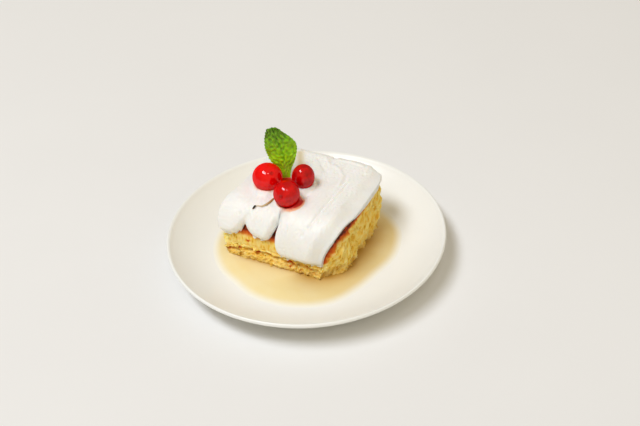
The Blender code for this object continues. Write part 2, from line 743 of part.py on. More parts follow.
def add_cherry_stalk():
    """A bent round stalk, thicker towards the cherry, with a knob where it was picked."""
    rings = stalk_rings()
    points = []
    for index, (middle, radius) in enumerate(rings):
        before = rings[max(index - 1, 0)][0]
        after = rings[min(index + 1, len(rings) - 1)][0]
        along = (after - before).normalized()
        side = along.cross(Vector((0.0, 0.0, 1.0))).normalized()
        up = side.cross(along)
        for step in range(STALK_SIDES):
            angle = math.tau * step / STALK_SIDES
            points.append(middle + (side * math.cos(angle) + up * math.sin(angle)) * radius)
    faces = [list(range(STALK_SIDES))]
    for ring in range(len(rings) - 1):
        for step in range(STALK_SIDES):
            after = (step + 1) % STALK_SIDES
            near, far = ring * STALK_SIDES, (ring + 1) * STALK_SIDES
            faces.append([near + step, far + step, far + after, near + after])
    faces.append(list(range(len(points) - 1, len(points) - 1 - STALK_SIDES, -1)))
    return add_object("cherry_stalk", points, faces, COLOURS["cherry_stalk"], 0.6)


# Mint leaf

def leaf_half_width(along):
    """Half the width of the leaf, with a toothed edge."""
    egg = (4.0 * along * (1.0 - along)) ** 0.7 * (1.0 + 0.25 * (2.0 * along - 1.0))
    tooth = abs(math.sin(math.pi * LEAF_TEETH * along)) * LEAF_TOOTH
    return max((LEAF_HALF_WIDTH + tooth) * egg, LEAF_STALK)


def leaf_middle(along, across):
    """A point of the leaf's middle surface in its own frame: right, towards the viewer, up."""
    width = leaf_half_width(along)
    bow = (LEAF_BOW + LEAF_RIB_BOW * (1.0 - abs(across))) * math.sin(math.pi * along)
    lean = math.radians(LEAF_LEAN)
    right = across * width + bow
    up = along * LEAF_LENGTH
    cup = -LEAF_CUP * abs(across) ** 1.5 * math.sin(math.pi * min(along * 1.1, 1.0))
    curl = -LEAF_TIP_CURL * along ** 3
    wave = LEAF_WAVE * math.sin(along * 19.0 + 2.0 * abs(across)) * abs(across)
    toward = cup + curl + wave
    return Vector((right * math.cos(lean) - up * math.sin(lean), toward,
                   right * math.sin(lean) + up * math.cos(lean)))


def add_mint_leaf():
    """A thin wavy leaf that stands on its stalk end; both faces have the same triangles."""
    foot = Vector((*LEAF_FOOT, frosting_top(*LEAF_FOOT) + GAP))
    turn = math.radians(LEAF_TURN)
    right_way = Vector((math.cos(turn), math.sin(turn), 0.0))
    view_way = Vector((math.sin(turn), -math.cos(turn), 0.0))
    points = []
    for row in range(LEAF_ROWS + 1):
        for column in range(LEAF_COLUMNS + 1):
            along = LEAF_END * row / LEAF_ROWS
            local = leaf_middle(along, blend(-1.0, 1.0, column / LEAF_COLUMNS))
            middle = foot + right_way * local.x + view_way * local.y
            middle.z += local.z + LEAF_LIFT
            points.append(middle + view_way * LEAF_THICKNESS / 2)
            points.append(middle - view_way * LEAF_THICKNESS / 2)

    def corner(row, column, face):
        return 2 * (row * (LEAF_COLUMNS + 1) + column) + face

    faces = []
    for row in range(LEAF_ROWS):
        for column in range(LEAF_COLUMNS):
            a, b = (row, column), (row, column + 1)
            c, d = (row + 1, column + 1), (row + 1, column)
            for triangle in ((a, b, c), (a, c, d)):
                faces.append([corner(*place, 0) for place in triangle])
                faces.append([corner(*place, 1) for place in reversed(triangle)])
    border = [(0, column) for column in range(LEAF_COLUMNS)]
    border += [(row, LEAF_COLUMNS) for row in range(LEAF_ROWS)]
    border += [(LEAF_ROWS, column) for column in range(LEAF_COLUMNS, 0, -1)]
    border += [(row, 0) for row in range(LEAF_ROWS, 0, -1)]
    for near, far in zip(border, border[1:] + border[:1]):
        faces.append([corner(*near, 1), corner(*far, 1), corner(*far, 0), corner(*near, 0)])
    return add_object("mint_leaf", points, faces, COLOURS["mint_leaf"], 0.5)


def main():
    for old in list(bpy.data.objects):
        bpy.data.objects.remove(old)
    add_plate()
    sponge_rim = add_sponge()
    add_milk_pool(sponge_rim)
    add_frosting()
    for cherry in CHERRIES:
        add_cherry(*cherry)
    add_cherry_stalk()
    add_mint_leaf()


main()
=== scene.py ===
# %% [markdown]
# # A square of three-milk cake on its dessert plate
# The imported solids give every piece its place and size. This lesson dresses them: a glazed plate, a thin
# pool of milk, torn wet sponge with a browned skin, whipped frosting with knife marks, three candied
# cherries and a mint leaf. Forms are worked out in millimetres, which become metres when a mesh is made,
# and node trees and materials work in metres. X runs along the front of the cake, Y from its front to its
# back, and Z is up.

# %% Load the solids
import math

import bpy
import numpy as np
from mathutils import Matrix, Vector, noise


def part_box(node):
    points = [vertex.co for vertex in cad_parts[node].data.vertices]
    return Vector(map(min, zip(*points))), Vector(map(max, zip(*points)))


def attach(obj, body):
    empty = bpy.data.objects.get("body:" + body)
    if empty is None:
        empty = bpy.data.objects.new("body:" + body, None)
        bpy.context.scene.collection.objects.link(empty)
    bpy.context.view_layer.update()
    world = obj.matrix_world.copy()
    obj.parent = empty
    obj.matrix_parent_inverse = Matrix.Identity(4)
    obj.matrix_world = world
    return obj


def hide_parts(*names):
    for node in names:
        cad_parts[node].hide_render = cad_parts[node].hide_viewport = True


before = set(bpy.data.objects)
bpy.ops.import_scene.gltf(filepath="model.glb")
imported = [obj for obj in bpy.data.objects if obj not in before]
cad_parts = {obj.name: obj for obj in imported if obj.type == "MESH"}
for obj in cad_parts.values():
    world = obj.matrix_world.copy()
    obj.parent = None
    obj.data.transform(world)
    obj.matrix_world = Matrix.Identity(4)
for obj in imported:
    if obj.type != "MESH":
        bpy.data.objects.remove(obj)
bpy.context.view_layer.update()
MM = 0.001
print("solids:", sorted(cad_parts))

# %% [markdown]
# ## The forms that the pieces share
# The sponge and the frosting follow one side view: an upright front, a rounded shoulder, a top and a
# back. It could be traced by hand, but a few sizes and two quarter ellipses keep the frosting lying on
# the sponge wherever either is changed. These are the same sizes that the solids were made from.

# %% Sizes of the sponge and its side view
SPONGE_FLOOR_Z = 6.4
SPONGE_FRONT_Y = -28.4
SPONGE_BACK_Y = 47.5
SPONGE_LEFT_X = -42.5
SPONGE_RIGHT_X = 37.6
LEFT_FLARE = 2.0
LEFT_FLARE_Y = 5.0
SHOULDER_START_Z = 20.0
SHOULDER_RUN = 20.4
SHOULDER_RISE = 23.5
TOP_RISE = 2.2
BACK_ROUND = 2.0
FRONT_CORNER_CUT = 12.0
BACK_CORNER_CUT = 3.0
BACK_CORNER_RUN = 12.0


def smooth_step(low, high, value):
    """0 at low, 1 at high and smooth between, for a number or an array."""
    share = np.clip((value - low) / (high - low), 0.0, 1.0)
    return share * share * (3.0 - 2.0 * share)


def blend(start, end, share):
    return start + (end - start) * share


def arc(middle, radii, degrees):
    """Points of part of an ellipse, at angles in degrees."""
    return [(middle[0] + radii[0] * math.cos(angle), middle[1] + radii[1] * math.sin(angle))
            for angle in np.radians(degrees).tolist()]


def side_view():
    """Points of the side view, from the foot of the front, over the top, down the back."""
    front_middle = (SPONGE_FRONT_Y + SHOULDER_RUN, SHOULDER_START_Z)
    back_middle = (SPONGE_BACK_Y - BACK_ROUND, SHOULDER_START_Z + SHOULDER_RISE + TOP_RISE - BACK_ROUND)
    shoulder = arc(front_middle, (-SHOULDER_RUN, SHOULDER_RISE), range(0, 91, 2))
    back = arc(back_middle, (BACK_ROUND, BACK_ROUND), range(90, -1, -10))
    return np.array([(SPONGE_FRONT_Y, SPONGE_FLOOR_Z), *shoulder, *back, (SPONGE_BACK_Y, SPONGE_FLOOR_Z)])


VIEW = side_view()
VIEW_STEPS = np.hypot(*np.diff(VIEW, axis=0).T)
VIEW_AT = np.concatenate([[0.0], np.cumsum(VIEW_STEPS)])
BACK_EDGE = VIEW_AT[-2] - BACK_ROUND * math.pi / 4


def on_side_view(distance):
    """Place and outward direction at distances up the front and over the top: y, z, ny, nz."""
    middles = (VIEW_AT[1:] + VIEW_AT[:-1]) / 2
    ways = np.diff(VIEW, axis=0) / VIEW_STEPS[:, None]
    ny = np.interp(distance, middles, -ways[:, 1])
    nz = np.interp(distance, middles, ways[:, 0])
    length = np.hypot(ny, nz)
    y = np.interp(distance, VIEW_AT, VIEW[:, 0])
    z = np.interp(distance, VIEW_AT, VIEW[:, 1])
    return y, z, ny / length, nz / length


def back_corner(y):
    return BACK_CORNER_CUT * (np.maximum(y - (SPONGE_BACK_Y - BACK_CORNER_RUN), 0.0) / BACK_CORNER_RUN) ** 2


def left_end(y):
    return SPONGE_LEFT_X - LEFT_FLARE * smooth_step(LEFT_FLARE_Y, SPONGE_FRONT_Y, y) + back_corner(y)


def right_end(y):
    front = np.maximum(SPONGE_FRONT_Y + SHOULDER_RUN - y, 0.0) / SHOULDER_RUN
    return SPONGE_RIGHT_X - FRONT_CORNER_CUT * front ** 2 - back_corner(y)


print("the side view is %.0f mm long up to the back edge" % BACK_EDGE)

# %% [markdown]
# ## Helpers for meshes
# The big forms are grids whose corners are worked out all at once with numpy, which takes a second where
# a loop over points takes minutes. A block's skin is closed, so it faces out all round. Named numbers at
# the points, such as how browned a place is, go along with the mesh and steer its material later.

# %% Mesh helpers
WAVE_COUNT = 28
WAVE_LENGTHS = (1.1, 2.6)


def mesh_piece(name, points, faces, values=None, material=None):
    """A smooth mesh object from points in millimetres, with named numbers at its points."""
    mesh = bpy.data.meshes.new(name)
    mesh.from_pydata((np.asarray(points) * MM).tolist(), [], faces)
    for label, numbers in (values or {}).items():
        layer = mesh.attributes.new(label, "FLOAT", "POINT")
        layer.data.foreach_set("value", np.asarray(numbers, np.float32))
    mesh.shade_smooth()
    if material:
        mesh.materials.append(material)
    piece = bpy.data.objects.new(name, mesh)
    bpy.context.scene.collection.objects.link(piece)
    return piece


def quads_of(grid, flipped):
    """Four-sided faces between the numbered points of a grid."""
    quads = np.stack([grid[:-1, :-1], grid[1:, :-1], grid[1:, 1:], grid[:-1, 1:]], -1).reshape(-1, 4)
    return quads[:, ::-1] if flipped else quads


def block_skin(nx, ny, nz, open_floor=False):
    """Corners i, j, k on the skin of a block of cells and its outward faces; an open floor is one face."""
    number = -np.ones((nx + 1, ny + 1, nz + 1), int)
    i, j, k = np.indices(number.shape)
    skin = (i == 0) | (i == nx) | (j == 0) | (j == ny) | (k == nz)
    if not open_floor:
        skin |= k == 0
    number[skin] = np.arange(skin.sum())
    sheets = [
        quads_of(number[:, :, nz], False),
        quads_of(number[:, 0, :], False),
        quads_of(number[:, ny, :], True),
        quads_of(number[nx, :, :], False),
        quads_of(number[0, :, :], True),
    ]
    if not open_floor:
        sheets.append(quads_of(number[:, :, 0], True))
    faces = np.concatenate(sheets).tolist()
    rim = np.concatenate([number[:-1, 0, 0], number[-1, :-1, 0], number[:0:-1, -1, 0], number[0, :0:-1, 0]])
    if open_floor:
        faces.append(rim[::-1].tolist())
    return i[skin], j[skin], k[skin], faces, rim


def waves(coordinates, size, seed):
    """Smooth uneven numbers, mostly -1 to 1, at places given by coordinates. Bumps are about size across."""
    places = np.stack(coordinates, -1)
    draw = np.random.default_rng(seed)
    ways = draw.normal(size=(WAVE_COUNT, places.shape[1]))
    ways /= np.linalg.norm(ways, axis=1)[:, None]
    lengths = size * draw.uniform(*WAVE_LENGTHS, WAVE_COUNT)
    phases = draw.uniform(0.0, math.tau, WAVE_COUNT)
    total = np.zeros(len(places))
    for way, length, phase in zip(ways, lengths, phases):
        total += np.cos(places @ way * math.tau / length + phase)
    return total / math.sqrt(WAVE_COUNT)


def away_from_path(x, s, path):
    """Distances from places to a path of points, all in the same two lengths."""
    best = np.full(np.shape(x), np.inf)
    for (x0, s0), (x1, s1) in zip(path, path[1:]):
        along_x, along_s = x1 - x0, s1 - s0
        part = ((x - x0) * along_x + (s - s0) * along_s) / (along_x ** 2 + along_s ** 2)
        part = np.clip(part, 0.0, 1.0)
        best = np.minimum(best, np.hypot(x - x0 - along_x * part, s - s0 - along_s * part))
    return best


def show_as(piece, node):
    """Puts a finished piece in the place of its solid."""
    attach(piece, "root")
    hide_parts(node)
    print("%s: %d faces" % (piece.name, len(piece.data.polygons)))


# %% [markdown]
# ## Helpers for Geometry Nodes
# A node tree does what follows a rule over a surface: turning a plate, roughing up crumb, scattering
# bits. Each tree names its sizes as inputs, so a cherry can be made three times from one tree. The result
# is then turned into a plain mesh.

# %% Geometry Nodes helpers
KINDS = {float: "NodeSocketFloat", int: "NodeSocketInt", tuple: "NodeSocketVector",
         type(None): "NodeSocketMaterial"}


def geometry_tree(name, sizes):
    """A tree that takes a mesh and named inputs and puts out a mesh; returned with its two ends."""
    tree = bpy.data.node_groups.new(name, "GeometryNodeTree")
    tree.interface.new_socket("Mesh", in_out="INPUT", socket_type="NodeSocketGeometry")
    tree.interface.new_socket("Mesh", in_out="OUTPUT", socket_type="NodeSocketGeometry")
    for label, value in sizes.items():
        socket = tree.interface.new_socket(label, in_out="INPUT", socket_type=KINDS[type(value)])
        if value is not None:
            socket.default_value = value
    return tree, tree.nodes.new("NodeGroupInput").outputs, tree.nodes.new("NodeGroupOutput").inputs


def feed_to(tree, feed, socket):
    """Links a node's output to a socket, or sets the socket to a plain value."""
    if isinstance(feed, bpy.types.NodeSocket):
        tree.links.new(feed, socket)
    else:
        socket.default_value = feed


def add(tree, kind, feeds=(), **settings):
    """Adds a node: sets its settings, then links or sets each of the named or numbered inputs."""
    made = tree.nodes.new(kind)
    for setting, value in settings.items():
        setattr(made, setting, value)
    for socket, feed in dict(feeds).items():
        feed_to(tree, feed, made.inputs[socket])
    return made


def maths(tree, operation, *feeds):
    return add(tree, "ShaderNodeMath", enumerate(feeds), operation=operation).outputs[0]


def plus(tree, first, second):
    return maths(tree, "ADD", first, second)


def minus(tree, first, second):
    return maths(tree, "SUBTRACT", first, second)


def times(tree, first, second):
    return maths(tree, "MULTIPLY", first, second)


def vector_maths(tree, operation, *feeds):
    made = add(tree, "ShaderNodeVectorMath", enumerate(feeds), operation=operation)
    return made.outputs["Value" if operation == "DOT_PRODUCT" else "Vector"]


def scaled(tree, vector, factor):
    return add(tree, "ShaderNodeVectorMath", {0: vector, "Scale": factor}, operation="SCALE").outputs[0]


def shrunk(tree, vector, size):
    """Places measured in a size, for a texture whose features are about 1 across."""
    return scaled(tree, vector, maths(tree, "DIVIDE", 1.0, size))


def eased(tree, value, low, high):
    """0 at low, 1 at high and smooth between."""
    feeds = {"Value": value, "From Min": low, "From Max": high}
    return add(tree, "ShaderNodeMapRange", feeds, interpolation_type="SMOOTHSTEP").outputs["Result"]


def combined(tree, **parts):
    """A vector from its parts."""
    return add(tree, "ShaderNodeCombineXYZ", parts).outputs[0]


def parts_of(tree, vector):
    return add(tree, "ShaderNodeSeparateXYZ", {0: vector}).outputs


def uneven(tree, **feeds):
    """A noise texture, by its named inputs."""
    return add(tree, "ShaderNodeTexNoise", feeds)


def named(tree, label):
    """A named number of the mesh, read in a geometry tree."""
    made = add(tree, "GeometryNodeInputNamedAttribute", {"Name": label}, data_type="FLOAT")
    return made.outputs["Attribute"]


def kept(tree, mesh, label, value):
    """Keeps a number at every point of the mesh under a name."""
    feeds = {"Geometry": mesh, "Name": label, "Value": value}
    return add(tree, "GeometryNodeStoreNamedAttribute", feeds, data_type="FLOAT", domain="POINT").outputs[0]


def own_place(tree):
    return add(tree, "GeometryNodeInputPosition").outputs[0]


def moved(tree, mesh, **feeds):
    """The mesh with its points set to a Position or shifted by an Offset."""
    return add(tree, "GeometryNodeSetPosition", {"Geometry": mesh, **feeds}).outputs[0]


def close_tree(tree, end, mesh, material):
    """Every tree ends in real, coloured, smooth geometry."""
    real = add(tree, "GeometryNodeRealizeInstances", {"Geometry": mesh}).outputs[0]
    smooth = add(tree, "GeometryNodeSetShadeSmooth", {"Geometry": real}).outputs[0]
    painted = add(tree, "GeometryNodeSetMaterial", {"Geometry": smooth, "Material": material}).outputs[0]
    tree.links.new(painted, end[0])


def grow(piece, tree, inputs):
    """Runs the tree on the piece and keeps the result as its plain mesh."""
    modifier = piece.modifiers.new(tree.name, "NODES")
    modifier.node_group = tree
    for item in tree.interface.items_tree:
        if item.in_out == "INPUT" and item.name in inputs:
            modifier[item.identifier] = inputs[item.name]
    shown = piece.evaluated_get(bpy.context.evaluated_depsgraph_get())
    mesh = bpy.data.meshes.new_from_object(shown)
    piece.modifiers.remove(modifier)
    piece.data = mesh


# %% [markdown]
# ## Helpers for materials
# Two effects turn up on nearly every surface here: a slow blotchy change between two colours, and fine
# relief too small to model. Each is a shader group with named inputs that only puts out a colour or a
# height, and the shader itself stays in the material.

# %% Material helpers and the two shared effects
BLOTCH_EDGES = (0.35, 0.65)


def linear(red, green, blue):
    """A colour as a screen shows it, 0 to 255, turned into the light values that nodes use."""
    shares = [value / 255.0 for value in (red, green, blue)]
    return tuple(v / 12.92 if v <= 0.04045 else ((v + 0.055) / 1.055) ** 2.4 for v in shares) + (1.0,)


def new_material(name, **settings):
    """A material with its shader's constant sockets set; returned with its tree."""
    material = bpy.data.materials.new(name)
    material.use_nodes = True
    shader = material.node_tree.nodes["Principled BSDF"]
    for label, value in settings.items():
        shader.inputs[label.replace("_", " ")].default_value = value
    return material, material.node_tree


def point_value(tree, label):
    """A named number of the mesh, read in a material."""
    return add(tree, "ShaderNodeAttribute", attribute_name=label).outputs["Fac"]


def mixed(tree, share, first, second):
    """A change from the first colour to the second."""
    made = add(tree, "ShaderNodeMix", data_type="RGBA", clamp_factor=True)
    for socket, feed in ((0, share), (6, first), (7, second)):
        feed_to(tree, feed, made.inputs[socket])
    return made.outputs[2]


def tinted(tree, colour, label, share, tint):
    """Lays a tint over a colour where a named number of the mesh is high, up to a share."""
    return mixed(tree, times(tree, point_value(tree, label), share), colour, tint)


def ramped(tree, tone, stops):
    """A colour by tone. Each stop has a position and a colour; the first is at 0 and the last at 1."""
    ramp = add(tree, "ShaderNodeValToRGB", {0: tone})
    elements = ramp.color_ramp.elements
    elements[0].color = linear(*stops[0][1])
    elements[1].color = linear(*stops[-1][1])
    for position, colour in stops[1:-1]:
        elements.new(position).color = linear(*colour)
    return ramp.outputs["Color"]


def shader_group(name, inputs, output, kind):
    """A shader group with one output; returned with its two ends."""
    group = bpy.data.node_groups.new(name, "ShaderNodeTree")
    for label, input_kind in inputs:
        group.interface.new_socket(label, in_out="INPUT", socket_type=input_kind)
    group.interface.new_socket(output, in_out="OUTPUT", socket_type=kind)
    return group, group.nodes.new("NodeGroupInput").outputs, group.nodes.new("NodeGroupOutput").inputs


def blotch_group():
    """Object coordinates in, a slow change between two colours out."""
    inputs = (("Size", "NodeSocketFloat"), ("Share", "NodeSocketFloat"),
              ("First", "NodeSocketColor"), ("Second", "NodeSocketColor"))
    group, start, end = shader_group("blotches", inputs, "Colour", "NodeSocketColor")
    place = add(group, "ShaderNodeTexCoord").outputs["Object"]
    cloud = uneven(group, Vector=shrunk(group, place, start["Size"]), Scale=1.0, Detail=4.0, Roughness=0.6)
    share = times(group, eased(group, cloud.outputs["Fac"], *BLOTCH_EDGES), start["Share"])
    group.links.new(mixed(group, share, start["First"], start["Second"]), end["Colour"])
    return group


def relief_group():
    """Object coordinates in, the height of fine uneven relief out, from 0 to 1."""
    inputs = (("Size", "NodeSocketFloat"), ("Detail", "NodeSocketFloat"))
    group, start, end = shader_group("fine_relief", inputs, "Height", "NodeSocketFloat")
    sized = shrunk(group, add(group, "ShaderNodeTexCoord").outputs["Object"], start["Size"])
    cloud = uneven(group, Vector=sized, Scale=1.0, Detail=start["Detail"], Roughness=0.55)
    group.links.new(cloud.outputs["Fac"], end["Height"])
    return group


BLOTCHES = blotch_group()
FINE_RELIEF = relief_group()


def blotched(tree, size, share, first, second):
    """The first colour, with blotches of a size in metres that go a share of the way to the second."""
    feeds = {"Size": size, "Share": share, "First": first, "Second": second}
    return add(tree, "ShaderNodeGroup", feeds, node_tree=BLOTCHES).outputs["Colour"]


def finished(material, colour, size, depth, detail=3.0, **feeds):
    """Feeds a material its colour, any other sockets, and fine relief of a size and depth in metres."""
    tree = material.node_tree
    relief = add(tree, "ShaderNodeGroup", {"Size": size, "Detail": detail}, node_tree=FINE_RELIEF)
    bump = add(tree, "ShaderNodeBump", {"Height": relief.outputs["Height"], "Distance": depth})
    feeds.update(Base_Color=colour, Normal=bump.outputs["Normal"])
    for label, feed in feeds.items():
        tree.links.new(feed, tree.nodes["Principled BSDF"].inputs[label.replace("_", " ")])
    return material


# %% [markdown]
# ## Camera, light and table
# The photograph was taken from above the table with a long lens. The camera's place was fitted to the
# ellipse of the plate's rim, and the cake stands turned 29 degrees to it. A wide soft box on the left gives
# the plate's soft shadow on the right, and a weak small one on the right lifts the right side. The
# surroundings are dimmer and warmer than the lamps, as the shadows are, and brighter on the right.

# %% Camera
VIEW_HEIGHT_ANGLE = 39.516
VIEW_DISTANCE = 860.277
VIEW_ROLL = -3.143
VIEW_TARGET = (10.81, 45.697)
VIEW_TURN = 29.0
LENS = 70.0
SENSOR_WIDTH = 36.0


def add_camera():
    height = math.radians(VIEW_HEIGHT_ANGLE)
    eye = Vector((0.0, -VIEW_DISTANCE * math.cos(height), VIEW_DISTANCE * math.sin(height)))
    turn = Matrix.Rotation(math.radians(VIEW_TURN), 4, "Z")
    aim = (Vector((*VIEW_TARGET, 0.0)) - eye).to_track_quat("-Z", "Y").to_matrix().to_4x4()
    roll = Matrix.Rotation(math.radians(VIEW_ROLL), 4, "Z")
    camera = bpy.data.objects.new("camera", bpy.data.cameras.new("camera"))
    camera.data.lens = LENS
    camera.data.sensor_width = SENSOR_WIDTH
    camera.data.clip_start = 0.01
    camera.matrix_world = turn @ Matrix.Translation(eye * MM) @ aim @ roll
    bpy.context.scene.collection.objects.link(camera)
    bpy.context.scene.camera = camera
    return camera


camera = add_camera()
print("camera at", [round(value, 3) for value in camera.matrix_world.translation])

# %% Light and table
# Name, way to the lamp, width, height and power
LAMPS = (
    ("soft_box", (-12.2, -18.1, 44.0), 2.0, 0.9, 69.0),
    ("small_fill", (12.8, -17.6, 44.0), 0.4, 0.4, 5.0),
)
LAMP_DISTANCE = 3.5
LAMP_COLOUR = (1.05, 1.1, 1.2)
DIM_SIDE = (0.26, 0.226, 0.168, 1.0)
BRIGHT_SIDE = (0.54, 0.462, 0.328, 1.0)
BRIGHT_WAY = (0.95, -0.2, 0.25)
TABLE_HALF = 2500.0
TABLE_COLOURS = (linear(238, 238, 237), linear(234, 234, 233))


def add_lamps():
    for name, way, width, height, power in LAMPS:
        lamp = bpy.data.lights.new(name, "AREA")
        lamp.shape = "RECTANGLE"
        lamp.size = width
        lamp.size_y = height
        lamp.energy = power
        lamp.color = LAMP_COLOUR
        light = bpy.data.objects.new(name, lamp)
        way = Vector(way).normalized()
        turn = way.to_track_quat("Z", "Y").to_matrix().to_4x4()
        light.matrix_world = Matrix.Translation(way * LAMP_DISTANCE) @ turn
        bpy.context.scene.collection.objects.link(light)


def add_surroundings():
    world = bpy.data.worlds.new("surroundings")
    world.use_nodes = True
    tree = world.node_tree
    way = add(tree, "ShaderNodeTexCoord").outputs["Generated"]
    side = eased(tree, vector_maths(tree, "DOT_PRODUCT", way, BRIGHT_WAY), -0.9, 0.9)
    tree.links.new(mixed(tree, side, DIM_SIDE, BRIGHT_SIDE), tree.nodes["Background"].inputs["Color"])
    bpy.context.scene.world = world


def add_table():
    material, tree = new_material("table_top", Roughness=0.85)
    finished(material, blotched(tree, 0.4, 0.5, *TABLE_COLOURS), 0.004, 0.00004)
    corners = [(x * TABLE_HALF, y * TABLE_HALF, 0) for x, y in ((-1, -1), (1, -1), (1, 1), (-1, 1))]
    mesh_piece("table", corners, [[0, 1, 2, 3]], material=material)


add_lamps()
add_surroundings()
add_table()
bpy.context.scene.view_settings.view_transform = "Standard"

# %% [markdown]
# ## Plate
# A dessert plate is thrown or pressed round, so its shape is one half section turned about its middle.
# Blender's Screw modifier could turn it. Here a node tree reads the half section from the piece's own
# mesh and lays it round as a grid, which keeps the number of steps a plain input.

# %% Half section of the plate
PLATE_RADIUS = 95.0
PLATE_FLOOR_Z = 6.0
PLATE_FLAT_RADIUS = 58.0
PLATE_RISE = 14.4
PLATE_WALL = 4.0
LIP_RADIUS = 1.6
FOOT_RADIUS = 56.0
FOOT_WIDTH = 4.0
FOOT_HEIGHT = 2.0
FOOT_ROUND = (1.7, 0.9)
PLATE_STEPS = 200


def plate_surface_z(radius):
    """Height of the upper side of the plate."""
    reach = PLATE_RADIUS - LIP_RADIUS - PLATE_FLAT_RADIUS
    return PLATE_FLOOR_Z + PLATE_RISE * (np.maximum(radius - PLATE_FLAT_RADIUS, 0.0) / reach) ** 2


def plate_half_section():
    """From the middle of the upper side, over the lip and the foot ring, to the middle below."""
    lip_r = PLATE_RADIUS - LIP_RADIUS
    lip_z = plate_surface_z(lip_r) - LIP_RADIUS * 0.4
    foot_outer = FOOT_RADIUS + FOOT_WIDTH / 2
    foot_inner = FOOT_RADIUS - FOOT_WIDTH / 2
    section = [(radius, plate_surface_z(radius)) for radius in np.linspace(0.0, lip_r - LIP_RADIUS * 0.7, 46)]
    section += arc((lip_r, lip_z), (LIP_RADIUS, LIP_RADIUS), np.linspace(75.0, -60.0, 14))
    for share in np.linspace(0.0, 1.0, 24):
        radius = blend(lip_r - 2.5, foot_outer + 2.0, share)
        section.append((radius, plate_surface_z(radius) - PLATE_WALL * blend(0.85, 1.0, share)))
    section += [(foot_outer + 0.5, FOOT_HEIGHT * 0.65), (foot_outer, FOOT_HEIGHT * 0.45)]
    section += arc((FOOT_RADIUS, FOOT_ROUND[1]), FOOT_ROUND, np.linspace(0.0, -180.0, 13))
    section += [(foot_inner - 0.1, FOOT_HEIGHT * 0.8), (foot_inner - 0.7, FOOT_HEIGHT)]
    section += [(radius, FOOT_HEIGHT) for radius in np.linspace(foot_inner - 1.5, 0.0, 12)]
    return [(radius, 0.0, height) for radius, height in section]


# %% A tree that turns a half section
def turning_tree():
    """Turns the points of the incoming mesh, a half section in X and Z, about Z."""
    tree, start, end = geometry_tree("turned_on_a_wheel", {"Steps": 64, "Points": 2, "Material": None})
    feeds = {"Vertices X": plus(tree, start["Steps"], 1), "Vertices Y": start["Points"]}
    grid = add(tree, "GeometryNodeMeshGrid", feeds).outputs["Mesh"]
    index = add(tree, "GeometryNodeInputIndex").outputs[0]
    row = maths(tree, "MODULO", index, start["Points"])
    column = maths(tree, "FLOOR", maths(tree, "DIVIDE", index, start["Points"]))
    feeds = {"Geometry": start["Mesh"], "Value": own_place(tree), "Index": row}
    sample = add(tree, "GeometryNodeSampleIndex", feeds, data_type="FLOAT_VECTOR", domain="POINT").outputs[0]
    parts = parts_of(tree, sample)
    angle = times(tree, maths(tree, "DIVIDE", column, start["Steps"]), math.tau)
    x = times(tree, parts["X"], maths(tree, "COSINE", angle))
    y = times(tree, parts["X"], maths(tree, "SINE", angle))
    turned = moved(tree, grid, Position=combined(tree, X=x, Y=y, Z=parts["Z"]))
    closed = add(tree, "GeometryNodeMergeByDistance", {"Geometry": turned, "Distance": 0.00001}).outputs[0]
    close_tree(tree, end, closed, start["Material"])
    return tree


# %% [markdown]
# The glaze is thick, smooth and faintly cream, and pools very slightly, so its gloss is a little uneven.
# The foot ring's underside is wiped free of glaze before firing, and stays matt and greyer.

# %% Glaze
GLAZE_COLOURS = (linear(247, 248, 244), linear(244, 245, 240))
CLAY_COLOUR = linear(205, 198, 186)
GLAZE_END = (0.0002, 0.0006)


def glaze_material():
    material, tree = new_material("cream_glaze", IOR=1.45)
    height = parts_of(tree, add(tree, "ShaderNodeTexCoord").outputs["Object"])["Z"]
    bare_foot = minus(tree, 1.0, eased(tree, height, *GLAZE_END))
    colour = mixed(tree, bare_foot, blotched(tree, 0.05, 0.6, *GLAZE_COLOURS), CLAY_COLOUR)
    rough = plus(tree, 0.3, times(tree, bare_foot, 0.5))
    return finished(material, colour, 0.012, 0.00006, detail=1.0, Roughness=rough)


def add_plate():
    section = plate_half_section()
    plate = mesh_piece("glazed_plate", section, [])
    grow(plate, turning_tree(), {"Steps": PLATE_STEPS, "Points": len(section), "Material": glaze_material()})
    show_as(plate, "plate")


add_plate()

# %% [markdown]
# ## Hanging edge
# The frosting's lobes hang to different heights. Where they hang decides which crumb is bare, so their
# edge is worked out before the sponge. A lobe is a middle, a lowest distance up the front, and a half
# width, a rise and a power on each side. The last one is a small drip.

# %% The frosting's hanging edge
LOBES = (
    (-43.5, 20.2, 12.0, 9.0, 3.0, 10.5, 7.8, 2.5),
    (-20.0, 21.8, 12.3, 6.2, 2.3, 8.1, 12.6, 7.0),
    (9.0, 13.2, 20.8, 21.2, 7.0, 20.0, 2.0, 6.0),
    (-34.8, 22.4, 1.4, 3.0, 1.6, 1.1, 4.0, 1.4),
)
LEFT_HANG = 9.0
RIGHT_HANG = (0.4, 2.4)
RIGHT_OVERHANG = (0.4, 1.6)
SAG_FROM = (-4.0, 20.0)
SAG_TO = (39.0, 34.0)
BACK_HANG = 5.0
REFERENCE_WIDTH = 78.0


def hanging_edge(share):
    """How far up the front the frosting ends, at a share of the cake's width."""
    x = blend(left_end(SPONGE_FRONT_Y), right_end(SPONGE_FRONT_Y), np.asarray(share, float))
    edge = np.full(x.shape, np.inf)
    for middle, lowest, left_width, left_rise, left_power, right_width, right_rise, right_power in LOBES:
        to_left = lowest + left_rise * (np.maximum(middle - x, 0.0) / left_width) ** left_power
        to_right = lowest + right_rise * (np.maximum(x - middle, 0.0) / right_width) ** right_power
        edge = np.minimum(edge, np.where(x < middle, to_left, to_right))
    return edge


def right_sag(y, limits):
    """The frosting has sunk furthest over the right end behind the middle of the cake."""
    return blend(*limits, smooth_step(*SAG_FROM, y) * smooth_step(*SAG_TO, y))


